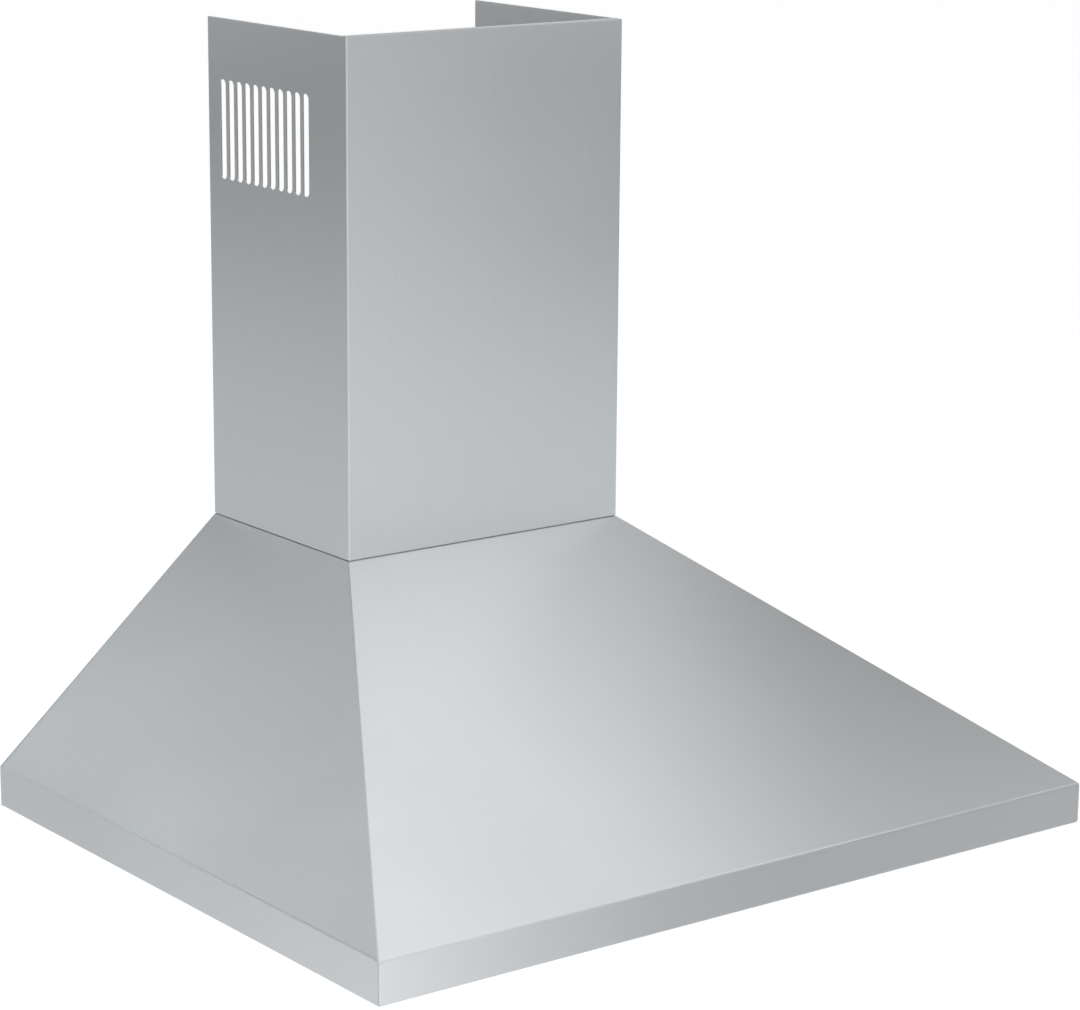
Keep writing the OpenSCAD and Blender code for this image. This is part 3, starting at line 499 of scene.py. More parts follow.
def moulded(name, colour, rough, grain=1400, depth=0.02):
    """Moulded plastic or paint: a fine eroded skin, its depth in mm, with rubbed patches and edges."""
    material, tree, shader = new_material(name)
    if tree is None:
        return material
    darkest, lightest, rubbed_edge = 0.9, 1.12, 2.2
    smoother, rougher = 0.05, 0.06
    place = place_on_piece(tree)
    skin = noise_of(tree, place, scale=grain, detail=2)
    rubbed = noise_of(tree, place, scale=60, detail=5)
    tone = mix_colours(tree, spread(tree, rubbed, 0, 1), shade(colour, darkest), shade(colour, lightest))
    edge = add_node(tree, "NewGeometry").outputs["Pointiness"]
    tone = mix_colours(tree, spread(tree, edge, 0, 0.35, 0.52, 0.6), tone, shade(colour, rubbed_edge))
    put(tree, tone, shader.inputs["Base Color"])
    put(tree, spread(tree, rubbed, rough - smoother, rough + rougher), shader.inputs["Roughness"])
    bump(tree, shader, skin, depth * MM)
    return material


# Kind and values of each finish. Their colours are settings of the same names.
FINISHES = {
    "galvanised": (plain_metal, dict(rough=0.42, crystals=150)),
    "dark_steel": (plain_metal, dict(rough=0.42)),
    "screws": (plain_metal, dict(rough=0.3, grain=1600)),
    "filter_alloy": (plain_metal, dict(rough=0.42)),
    "mesh_alloy": (plain_metal, dict(rough=0.34, grain=1800)),
    "lamp_trim": (plain_metal, dict(rough=0.36, grain=1500)),
    "lamp_cup": (moulded, dict(rough=0.45, grain=700)),
    "iron_core": (plain_metal, dict(rough=0.5)),
    "bronze": (plain_metal, dict(rough=0.34)),
    "capacitor_can": (plain_metal, dict(rough=0.3)),
    "motor_paint": (moulded, dict(rough=0.36, grain=500)),
    "black_plastic": (moulded, dict(rough=0.42)),
    "grey_plastic": (moulded, dict(rough=0.4)),
    "printed_figures": (moulded, dict(rough=0.6, grain=3000, depth=0.004)),
}


def finish(name):
    """The finish of that name."""
    kind, values = FINISHES[name]
    return kind(name, tuple(getattr(bpy.context.scene.hood_colours, name)), **values)


# Pieces
def slope_y(z):
    """Front plane of the front sheet at a height."""
    fall = (NECK_Z - z) / (NECK_Z - BAND_TOP_Z - bpy.context.scene.hood_sheets.seam)
    return CHIMNEY_Y + (FRONT_Y - CHIMNEY_Y) * fall


def slope_x(z):
    """Half width of the pyramid at a height."""
    fall = (NECK_Z - z) / (NECK_Z - BAND_TOP_Z - bpy.context.scene.hood_sheets.seam)
    return CHIMNEY_X + (RIM_X - CHIMNEY_X) * min(fall, 1)


class HOOD_OT_canopy(bpy.types.Operator):
    """Folded front sheet, side sheets and side bands of the canopy"""
    bl_idname = "hood.canopy"
    bl_label = "Canopy sheets"

    def front(self):
        """Front slope, front rim band and lip, one folded sheet."""
        radius = bpy.context.scene.hood_sheets.fold_radius
        rim_top = BAND_TOP_Z + bpy.context.scene.hood_sheets.seam
        lip_x = RIM_X - SHEET - GAP
        hem_radius = 1.2 * SHEET
        # The front's lip lies just above the bottom edge of the side bands.
        foot = RIM_Z + 0.03 * MM
        corners = [(CHIMNEY_Y, NECK_Z), (FRONT_Y, rim_top), (FRONT_Y, foot), (HEM_Y, foot), (HEM_Y, STRIP_Z)]
        path = rounded(corners, [2 * radius, radius, hem_radius])
        moved = inward(path, SHEET)
        level_start(path, moved)
        rows = []
        hem = []
        for p, q in zip(path, moved):
            # Behind the lip the sheet turns up as a hem, between the hems of the side bands.
            if p.y < rim_top and p.x > HEM_Y - hem_radius + TINY:
                hem.append([(Vector((x, p.x, p.y)), Vector((x, q.x, q.y))) for x in (-HEM_X, HEM_X)])
                continue
            half, half_in = slope_x(p.y), slope_x(q.y)
            # The lip fits between the side bands.
            if p.y < foot + radius - TINY:
                half = half_in = lip_x
            spots = [(-half, -half_in), (half, half_in)]
            # Below the fold, each row has a point above each end of the hem.
            if p.y < rim_top:
                spots[1:1] = [(-HEM_X, -HEM_X), (HEM_X, HEM_X)]
            rows.append([(Vector((a, p.x, p.y)), Vector((b, q.x, q.y))) for a, b in spots])
        skin = Skin()
        skin.grid(rows)
        skin.grid([rows[-1][1:3]] + hem)
        return skin.mesh()

    def side(self):
        """Sloping left side sheet and its flange behind the side band."""
        flange_x = -RIM_X + SHEET
        bend_radius = 1.1 * SHEET
        bend_z = BAND_TOP_Z + bpy.context.scene.hood_sheets.seam + SHEET * SIDE_SLOPE
        path = rounded([(-CHIMNEY_X, NECK_Z), (flange_x, bend_z), (flange_x, FLANGE_Z)], [bend_radius])
        moved = inward(path, SHEET)
        level_start(path, moved)
        behind_slope = SHEET / math.sin(math.atan2(NECK_Z - BAND_TOP_Z, CHIMNEY_Y - FRONT_Y)) + GAP
        behind_band = SHEET + 2 * GAP
        bend_low = BAND_TOP_Z + 1 * MM

        def front_y(z):
            return max(slope_y(z), FRONT_Y) + (behind_slope if z > bend_low else behind_band)

        skin = Skin()
        skin.grid([[(Vector((p.x, BACK_Y, p.y)), Vector((q.x, BACK_Y, q.y))),
                    (Vector((p.x, front_y(p.y), p.y)), Vector((q.x, front_y(q.y), q.y)))]
                   for p, q in zip(path, moved)])
        return skin.mesh()

    def band(self):
        """Upright left side band with its hem. Near the wall its top edge rises and closes the seam."""
        sheets = bpy.context.scene.hood_sheets
        radius = 1.3 * SHEET
        closing = 6 * MM
        path = rounded([(-RIM_X, BAND_TOP_Z), (-RIM_X, RIM_Z), (-HEM_X, RIM_Z), (-HEM_X, SUPPORT_Z)],
                       [radius, radius])
        moved = inward(path, SHEET)
        # The cut top edge slopes as the sheet above it does.
        moved[0].y += SHEET * SIDE_SLOPE
        closed = BACK_Y - sheets.seam_end
        ends = (BACK_Y, closed, closed - closing, HEM_Y + GAP, FRONT_Y + SHEET + sheets.corner_gap)
        rows = []
        for p, q in zip(path, moved):
            # Only the band itself reaches the front. Its lip and hem end behind the front's hem.
            count = len(ends) if p.x < -RIM_X + radius + TINY else len(ends) - 1
            row = []
            for y in ends[:count]:
                top_at_wall = p.y > BAND_TOP_Z - TINY and y > closed - TINY
                lift = Vector((0, 0, sheets.seam + sheets.joint_edge if top_at_wall else 0))
                row.append((Vector((p.x, y, p.y)) + lift, Vector((q.x, y, q.y)) + lift))
            rows.append(row)
        skin = Skin()
        for row, following in zip(rows, rows[1:]):
            count = min(len(row), len(following))
            skin.grid([row[:count], following[:count]])
        return skin.mesh()

    def execute(self, context):
        edge = context.scene.hood_sheets.edge
        joint_edge = context.scene.hood_sheets.joint_edge
        front = new_piece("canopy_front_sheet", self.front(), "hood", sheet_steel("X"))
        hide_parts("canopy_front")
        soften(front, edge)
        for name, build in (("canopy_side", self.side), ("rim_side", self.band)):
            for side in ("left", "right"):
                bm = build() if side == "left" else mirrored(build())
                piece = new_piece(f"{name}_{side}_sheet", bm, "hood", sheet_steel("Y"))
                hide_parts(f"{name}_{side}")
                soften(piece, joint_edge)
        return {"FINISHED"}


class HOOD_OT_chimney(bpy.types.Operator):
    """Lower and upper chimney cover with their air slots, and the plate below them"""
    bl_idname = "hood.chimney"
    bl_label = "Chimney covers"

    def slot_sides(self, y, z, width, height):
        """The four stretches of a slot's outline: low, front, high and back, each a quarter turn."""
        reach = (height - width) / 2
        steps = 6
        back = 135
        stretches = []
        for start in (-135, -45, 45, back):
            stretch = []
            for step in range(steps + 1):
                angle = math.radians(start + 90 * step / steps)
                # Where the turn is level, a straight side joins the slot's two round ends.
                if abs(math.sin(angle)) < TINY:
                    ends = (1, -1) if start == back else (-1, 1)
                else:
                    ends = (math.copysign(1, math.sin(angle)),)
                for end in ends:
                    up = end * reach + math.sin(angle) * width / 2
                    stretch.append((y + math.cos(angle) * width / 2, z + up))
            stretches.append(stretch)
        return stretches

    def walls(self, skin, half_x, columns, levels, slot_size):
        """Both side walls, in fields between columns and levels. Each inner field of one row has a slot."""
        thick = bpy.context.scene.hood_sheets.cover_sheet
        slot_row = 1
        middle_z = (levels[slot_row] + levels[slot_row + 1]) / 2

        def on_wall(side, y, z):
            return Vector((side * half_x, y, z)), Vector((side * (half_x - thick), y, z))

        for side in (-1, 1):
            for i, (y0, y1) in enumerate(zip(columns, columns[1:])):
                for k, (z0, z1) in enumerate(zip(levels, levels[1:])):
                    corners = [on_wall(side, y, z) for y, z in ((y1, z0), (y0, z0), (y0, z1), (y1, z1))]
                    if k != slot_row or i in (0, len(columns) - 2):
                        skin.face(*corners)
                        continue
                    for n, stretch in enumerate(self.slot_sides((y0 + y1) / 2, middle_z, *slot_size)):
                        chain = [on_wall(side, y, z) for y, z in stretch]
                        skin.face(corners[n], corners[(n + 1) % 4], *reversed(chain))

    def front(self, skin, half_x, front_y, levels, folded):
        """Front wall with its two upright bends. A folded edge takes the place of the wall's top row."""
        thick = bpy.context.scene.hood_sheets.cover_sheet
        radius = bpy.context.scene.hood_sheets.cover_radius
        path = rounded([(-half_x, 0), (-half_x, front_y), (half_x, front_y), (half_x, 0)], [radius, radius])
        bends = list(zip(path, inward(path, thick)))[1:-1]
        middle = len(bends) // 2
        top_row = len(levels) - 2
        for k, (z0, z1) in enumerate(zip(levels, levels[1:])):
            rows = [[(Vector((p.x, p.y, z)), Vector((q.x, q.y, z))) for p, q in bends] for z in (z0, z1)]
            if folded and k == top_row:
                skin.grid([row[:middle] for row in rows])
                skin.grid([row[middle:] for row in rows])
            else:
                skin.grid(rows)

    def top_fold(self, skin, half_x, front_y):
        """Edge of the front wall, folded back along the chimney's top."""
        radius = bpy.context.scene.hood_sheets.cover_radius
        reach = 8 * MM
        corners = [(front_y, TOP_Z - 2 * radius), (front_y, TOP_Z), (front_y + reach, TOP_Z)]
        fold = rounded(corners, [radius])
        inner = inward(fold, -bpy.context.scene.hood_sheets.cover_sheet)
        edge_x = half_x - radius
        skin.grid([[(Vector((x, p.x, p.y)), Vector((x, q.x, q.y))) for x in (-edge_x, edge_x)]
                   for p, q in list(zip(fold, inner))[1:]])

    def feet(self, bm, half_x, front_y, bottom):
        """Two feet folded inwards, which the cover's screws go through."""
        thick = bpy.context.scene.hood_sheets.cover_sheet
        foot_width = 12 * MM
        end_gap = 6 * MM
        for side in (-1, 1):
            foot = Skin()
            line = [(side * (half_x - thick), bottom), (side * (half_x - thick - foot_width), bottom)]
            ends = (front_y + end_gap, -end_gap)
            foot.grid([[(Vector((x, y, z)), Vector((x, y, z + thick))) for y in ends] for x, z in line])
            foot.build(bm)

    def cover(self, node, wider=0, taller=0, upper=False):
        """A cover of the node's size. The upper one has a folded top edge, the lower one has feet."""
        half_x = high(node).x
        front_y = low(node).y
        bottom = low(node).z
        radius = bpy.context.scene.hood_sheets.cover_radius
        slots = bpy.context.scene.hood_slots
        margin = 4 * MM
        slot_high = TOP_Z - slots.drop + taller / 2
        slot_low = slot_high - slots.height - taller
        levels = [bottom, slot_low - margin, slot_high + margin, TOP_Z - radius, TOP_Z]
        columns = [0.0] + [-slots.first - (i - 0.5) * slots.pitch for i in range(slots.count + 1)]
        columns.append(front_y + radius)
        skin = Skin()
        self.walls(skin, half_x, columns, levels, (slots.width + wider, slots.height + taller))
        self.front(skin, half_x, front_y, levels, upper)
        if upper:
            self.top_fold(skin, half_x, front_y)
        bm = skin.mesh()
        if not upper:
            self.feet(bm, half_x, front_y, bottom)
        return bm

    def execute(self, context):
        slots = context.scene.hood_slots
        steel = sheet_steel("Z")
        lower = self.cover("lower_cover")
        upper = self.cover("upper_cover", slots.wider, slots.taller, upper=True)
        for node, bm, body in (("lower_cover", lower, "hood"), ("upper_cover", upper, "upper_cover")):
            piece = new_piece(node + "_sheet", bm, body, steel)
            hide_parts(node)
            soften(piece, context.scene.hood_sheets.edge, angle=50)
        dress(["neck_plate"], "dark_steel", edge=0.15 * MM)
        return {"FINISHED"}


class HOOD_OT_underside(bpy.types.Operator):
    """Lamp strip, filter support and back panel"""
    bl_idname = "hood.underside"
    bl_label = "Strip, support and back"

    def execute(self, context):
        dress(["lamp_panel"], "stainless", edge=0.2 * MM, material=sheet_steel("X"))
        dress(["back_panel", "filter_support"], "galvanised", edge=0)
        return {"FINISHED"}


class HOOD_OT_lamps(bpy.types.Operator):
    """Two lamps with bezel, frosted lens and finned cup"""
    bl_idname = "hood.lamps"
    bl_label = "Lamps"

    def lens(self, node):
        """Shallow dome with ring-shaped ripples and a flat lip, as a body of revolution."""
        lower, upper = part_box(node)
        centre = (lower + upper) / 2
        radius = (upper.x - lower.x) / 2
        lip = 2.4 * MM
        edge = 0.2 * MM
        dome = 0.55 * MM
        ripple_height = 0.1 * MM
        ripples = 13
        steps = 4 * ripples
        seen = radius - lip
        profile = [(0.0, -dome)]
        for i in range(1, steps):
            share = i / steps
            ripple = ripple_height * math.cos(math.tau * share * ripples)
            profile.append((seen * share, -dome * (1 - share ** 2) + ripple * (share ** 0.5)))
        top = upper.z - lower.z
        profile += [(seen, 0.0), (radius - edge, 0.0), (radius, edge), (radius, top - edge),
                    (radius - edge, top), (0.0, top)]
        bm = bmesh.new()
        lathe(bm, profile, (centre.x, centre.y, lower.z), count=96)
        return bm

    def glass(self):
        """Frosted plastic that lets some light through."""
        material, tree, shader = new_material("frosted_lens")
        if tree is None:
            return material
        shader.inputs["IOR"].default_value = 1.49
        shader.inputs["Transmission Weight"].default_value = 0.35
        cloudy, clear = (0.86, 0.87, 0.85, 1), (0.92, 0.92, 0.9, 1)
        place = place_on_piece(tree)
        frost = noise_of(tree, place, scale=2200, detail=2)
        cloud = noise_of(tree, place, scale=90, detail=3)
        put(tree, mix_colours(tree, spread(tree, cloud, 0, 1), cloudy, clear), shader.inputs["Base Color"])
        put(tree, spread(tree, cloud, 0.28, 0.38), shader.inputs["Roughness"])
        bump(tree, shader, frost, 0.02 * MM)
        return material

    def execute(self, context):
        for side in ("left", "right"):
            dress(["lamp_bezel_" + side], "lamp_trim", edge=0.35 * MM)
            dress(["lamp_body_" + side], "lamp_cup", edge=0.3 * MM)
            node = "lamp_lens_" + side
            lens = new_piece(node + "_glass", self.lens(node), "hood", self.glass())
            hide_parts(node)
            lens.data.set_sharp_from_angle(angle=math.radians(35))
        return {"FINISHED"}


class HOOD_OT_controls(bpy.types.Operator):
    """Control plate with printed figures, two sliders and the switch behind them"""
    bl_idname = "hood.controls"
    bl_label = "Controls"

    def marks(self):
        """Printed figures beside the places that each slider stops at."""
        figure_height = 3.6 * MM
        figure_gap = 4.2 * MM
        print_height = 0.03 * MM
        bm = bmesh.new()
        for node, figures in (("speed_slider", "0123"), ("light_slider", "01")):
            lower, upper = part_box(node)
            joint = next(j for j in frame["joints"] if j["child"] == node)
            travel = joint["range_m"][1]
            for i, figure in enumerate(figures):
                curve = bpy.data.curves.new("figure", "FONT")
                curve.body = figure
                curve.size = figure_height
                curve.align_x = "CENTER"
                curve.extrude = print_height
                text = bpy.data.objects.new("figure", curve)
                bpy.context.scene.collection.objects.link(text)
                bpy.context.view_layer.update()
                mesh = bpy.data.meshes.new_from_object(text)
                x = (lower.x + upper.x) / 2 + travel * i / (len(figures) - 1)
                place = Vector((x, upper.y + figure_gap, low("control_plate").z - print_height))
                mesh.transform(Matrix.Translation(place) @ Matrix.Rotation(math.pi, 4, "X"))
                bm.from_mesh(mesh)
                bpy.data.objects.remove(text)
                bpy.data.curves.remove(curve)
                bpy.data.meshes.remove(mesh)
        return bm

    def execute(self, context):
        dress(["control_plate"], "black_plastic", edge=0.45 * MM)
        dress(["switch_box"], "grey_plastic", edge=0.5 * MM)
        dress(["speed_slider", "light_slider"], "grey_plastic", edge=0.35 * MM)
        new_piece("control_figures", self.marks(), "hood", finish("printed_figures"))
        return {"FINISHED"}


# Height in the frame, as a share of it, then coarseness and shift of each of the filter's nets
NET_LAYERS = ((0.16, 1, 0.0), (0.5, 1.8, 0.4), (0.84, 1, 0.7))


class HOOD_OT_filters(bpy.types.Operator):
    """Grease filters: frame, layers of expanded metal, latch and spring"""
    bl_idname = "hood.filters"
    bl_label = "Grease filters"

    def net(self, lower, upper, keep_out, z, coarse, phase):
        """One wavy layer of diamonds, cut to the frame's opening and round the latch."""
        settings = bpy.context.scene.hood_filters
        long_way = settings.long_way * coarse
        short_way = settings.short_way * coarse
        wave_length = 2.5 * short_way
        bm = bmesh.new()
        known = {}

        def vert(i, j):
            if (i, j) not in known:
                x = lower.x + (i + phase) * long_way / 2
                y = lower.y + (j + phase) * short_way / 2
                lift = settings.wave * math.sin(math.tau * y / wave_length)
                known[(i, j)] = bm.verts.new((x, y, z + lift))
            return known[(i, j)]

        def cut(spot, normal, **options):
            bmesh.ops.bisect_plane(bm, geom=bm.verts[:] + bm.edges[:] + bm.faces[:], plane_co=spot,
                                   plane_no=normal, **options)

        across = int((upper.x - lower.x) / long_way * 2) + 3
        deep = int((upper.y - lower.y) / short_way * 2) + 3
        for i in range(-1, across):
            for j in range(-1, deep):
                if (i + j) % 2:
                    bm.faces.new([vert(i - 1, j), vert(i, j - 1), vert(i + 1, j), vert(i, j + 1)])
        for spot, normal in (((lower.x, 0, 0), (-1, 0, 0)), ((upper.x, 0, 0), (1, 0, 0)),
                             ((0, lower.y, 0), (0, -1, 0)), ((0, upper.y, 0), (0, 1, 0))):
            cut(spot, normal, clear_outer=True)
        left, right, rear = keep_out
        for spot, normal in (((left, 0, 0), (1, 0, 0)), ((right, 0, 0), (1, 0, 0)),
                             ((0, rear, 0), (0, 1, 0))):
            cut(spot, normal)
        hidden = []
        for face in bm.faces:
            middle = face.calc_center_median()
            if left < middle.x < right and middle.y < rear:
                hidden.append(face)
        bmesh.ops.delete(bm, geom=hidden, context="FACES")
        bmesh.ops.dissolve_limit(bm, angle_limit=0.0, verts=[], edges=[])
        bmesh.ops.wireframe(bm, faces=bm.faces[:], thickness=settings.strand, offset=0, use_replace=True,
                            use_boundary=True, use_even_offset=True)
        return bm

    def execute(self, context):
        border = Vector((context.scene.hood_filters.border, context.scene.hood_filters.border, 0))
        # Half width and depth of the place that the net leaves free round the latch
        latch_room = 29 * MM
        for side in ("left", "right"):
            dress(["filter_frame_" + side], "filter_alloy", edge=0.8 * MM)
            dress(["filter_latch_" + side], "grey_plastic", edge=0.6 * MM)
            dress(["latch_spring_" + side], "screws", edge=0.05 * MM)
            lower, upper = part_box("filter_frame_" + side)
            middle = (lower.x + upper.x) / 2
            keep_out = (middle - latch_room, middle + latch_room, lower.y + latch_room)
            for k, (share, coarse, phase) in enumerate(NET_LAYERS):
                z = lower.z + (upper.z - lower.z) * share
                bm = self.net(lower + border, upper - border, keep_out, z, coarse, phase)
                new_piece(f"filter_net_{side}_{k + 1}", bm, "filter_" + side,
                                        finish("mesh_alloy"))
            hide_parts("filter_mesh_" + side)
        return {"FINISHED"}


class HOOD_OT_blower(bpy.types.Operator):
    """Scroll housing, motor, impeller, outlet collar and its flaps"""
    bl_idname = "hood.blower"
    bl_label = "Blower and outlet"

    def execute(self, context):
        dress(["scroll_left", "scroll_right"], "galvanised", edge=0.25 * MM)
        dress(["motor_spider"], "galvanised", edge=0.3 * MM)
        dress(["motor_housing"], "motor_paint", edge=0.8 * MM)
        dress(["motor_stator", "motor_rotor_core"], "iron_core", edge=0.3 * MM)
        dress(["motor_bearings"], "bronze", edge=0.2 * MM)
        dress(["motor_shaft"], "screws", edge=0.25 * MM, material=finish("dark_steel"))
        dress(["impeller", "end_ring_left", "end_ring_right"], "galvanised", edge=0.3 * MM)
        dress(["blades_left", "blades_right"], "galvanised", edge=0.12 * MM)
        dress(["outlet_adapter"], "black_plastic", edge=0.4 * MM)
        dress(["flap_front", "flap_rear"], "grey_plastic", edge=0.2 * MM)
        dress(["flap_pin"], "screws", edge=0.15 * MM)
        return {"FINISHED"}


class HOOD_OT_electrics(bpy.types.Operator):
    """Junction box, control board, capacitor and cable gland"""
    bl_idname = "hood.electrics"
    bl_label = "Electrics"

    def board(self):
        """Green lacquer with fine traces. The parts that stand on it are black."""
        material, tree, shader = new_material("circuit_board")
        if tree is None:
            return material
        lacquer, trace, parts = (0.02, 0.12, 0.055, 1), (0.035, 0.2, 0.09, 1), (0.035, 0.035, 0.04, 1)
        board_thickness = 1.65 * MM
        place = place_on_piece(tree)
        lines = add_node(tree, "TexWave", {"Vector": place, "Scale": 260, "Distortion": 6.0, "Detail": 2.0})
        green = mix_colours(tree, spread(tree, lines.outputs["Fac"], 0, 1, 0.45, 0.55), lacquer, trace)
        depth = add_node(tree, "SeparateXYZ", {"Vector": place}).outputs["Y"]
        part_y = high("control_board").y - board_thickness
        raised = add_node(tree, "Math", {0: depth, 1: part_y}, operation="LESS_THAN").outputs[0]
        put(tree, mix_colours(tree, raised, green, parts), shader.inputs["Base Color"])
        worn = noise_of(tree, place, scale=120, detail=4)
        put(tree, spread(tree, worn, 0.3, 0.42), shader.inputs["Roughness"])
        bump(tree, shader, lines.outputs["Fac"], 0.02 * MM)
        return material

    def execute(self, context):
        dress(["junction_box", "junction_lid"], "black_plastic", edge=0.6 * MM)
        dress(["control_board"], "circuit_board", edge=0.3 * MM, material=self.board())
        dress(["capacitor"], "capacitor_can", edge=0.8 * MM)
        dress(["capacitor_clip"], "galvanised", edge=0.2 * MM)
        dress(["cable_gland"], "black_plastic", edge=0.4 * MM)
        return {"FINISHED"}


class HOOD_OT_fasteners(bpy.types.Operator):
    """Pan-head screws with a cross recess and a rolled thread"""
    bl_idname = "hood.fasteners"
    bl_label = "Screws"

    def islands(self, node):
        """Corners of each loose solid in a node."""
        bm = bmesh.new()
        bm.from_mesh(frame["nodes"][node].data)
        bmesh.ops.remove_doubles(bm, verts=bm.verts[:], dist=0.01 * MM)
        left = dict.fromkeys(bm.verts)
        found = []
        while left:
            queue = [left.popitem()[0]]
            island = []
            while queue:
                vert = queue.pop()
                island.append(vert.co.copy())
                for edge in vert.link_edges:
                    other = edge.other_vert(vert)
                    if other in left:
                        del left[other]
                        queue.append(other)
            found.append(island)
        bm.free()
        return found

    def measure(self, island):
        """Place of a screw's head, the way it points and its length, from its plain solid's corners."""
        lower = Vector([min(c[k] for c in island) for k in range(3)])
        upper = Vector([max(c[k] for c in island) for k in range(3)])
        size = upper - lower
        # Two sizes are the head's width and so the same. The third is the length.
        axis = max(range(3), key=lambda k: abs(size[k] - sorted(size)[1]))
        centre = (lower + upper) / 2
        way = Vector([k == axis for k in range(3)])

        def girth(at):
            return max((c - centre - (c - centre)[axis] * way).length
                       for c in island if abs(c[axis] - at) < 0.1 * MM)

        start = centre.copy()
        if girth(lower[axis]) > girth(upper[axis]):
            start[axis] = lower[axis]
            return start, way, size[axis]
        start[axis] = upper[axis]
        return start, -way, size[axis]

    def screw(self, bm, start, way, length):
        """One screw from the top of its head at start to its tip."""
        head_r, head_h, head_edge = 3.6 * MM, 2.2 * MM, 0.12 * MM
        flat_r = 2.45 * MM
        # Radius and depth below the top, along the head's dome
        dome = ((3.05 * MM, 0.22 * MM), (3.42 * MM, 0.7 * MM), (head_r, 1.35 * MM))
        arm, slit, recess = 2.0 * MM, 0.5 * MM, 1.1 * MM
        shank_r, thread, pitch, plain_tip = 1.75 * MM, 0.3 * MM, 0.9 * MM, 1.2 * MM
        around = 24
        quarter = around // 4
        steps = 6
        turn = Matrix.Translation(start) @ way.to_track_quat("Z", "Y").to_matrix().to_4x4()

        def vert(x, y, z):
            return bm.verts.new(turn @ Vector((x, y, z)))

        def ring(radius, z):
            angles = [math.tau * i / around for i in range(around)]
            return [vert(radius * math.cos(angle), radius * math.sin(angle), z) for angle in angles]

        def join(a, b):
            for i in range(len(a)):
                bm.faces.new([a[i], a[(i + 1) % len(a)], b[(i + 1) % len(b)], b[i]])

        def cross(share, z):
            """Outline of the cross recess, its arms shortened to the share."""
            outline = []
            for c, s in ((1, 0), (0, 1), (-1, 0), (0, -1)):
                for u, v in ((arm * share, -slit), (arm * share, slit), (slit, slit)):
                    outline.append(vert(c * u - s * v, s * u + c * v, z))
            return outline

        top = ring(flat_r, 0.0)
        mouth = cross(1.0, 0.0)
        floor = cross(0.7, recess)
        for k in range(4):
            i = quarter * k
            tip, next_tip, corner = mouth[3 * k], mouth[3 * k + 1], mouth[3 * k + 2]
            bm.faces.new([top[i - 1], top[i], top[i + 1], next_tip, tip])
            bm.faces.new(top[i + 1:i + quarter] + [mouth[(3 * k + 3) % len(mouth)], corner, next_tip])
        join(mouth, floor)
        bm.faces.new(floor)
        rings = [top] + [ring(radius, z) for radius, z in dome]
        rings += [ring(head_r, head_h - head_edge), ring(head_r - head_edge, head_h), ring(shank_r, head_h)]
        rows = int((length - head_h - plain_tip) / pitch * steps)
        for row in range(1, rows + 1):
            z = head_h + row * pitch / steps
            spots = []
            for i in range(around):
                phase = (row / steps - i / around) % 1
                radius = shank_r - thread * abs(2 * phase - 1) * min(1, row / steps)
                angle = math.tau * i / around
                spots.append(vert(radius * math.cos(angle), radius * math.sin(angle), z))
            rings.append(spots)
        rings.append(ring(0.5 * shank_r, length))
        for a, b in zip(rings, rings[1:]):
            join(a, b)
        bm.faces.new(rings[-1])

    def execute(self, context):
        for node in ("cover_screws", "blower_screws", "spider_screws", "junction_lid_screws"):
            bm = bmesh.new()
            for island in self.islands(node):
                self.screw(bm, *self.measure(island))
            piece = new_piece(node + "_cut", bm, "hood", finish("screws"))
            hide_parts(node)
            piece.data.set_sharp_from_angle(angle=math.radians(40))
        return {"FINISHED"}


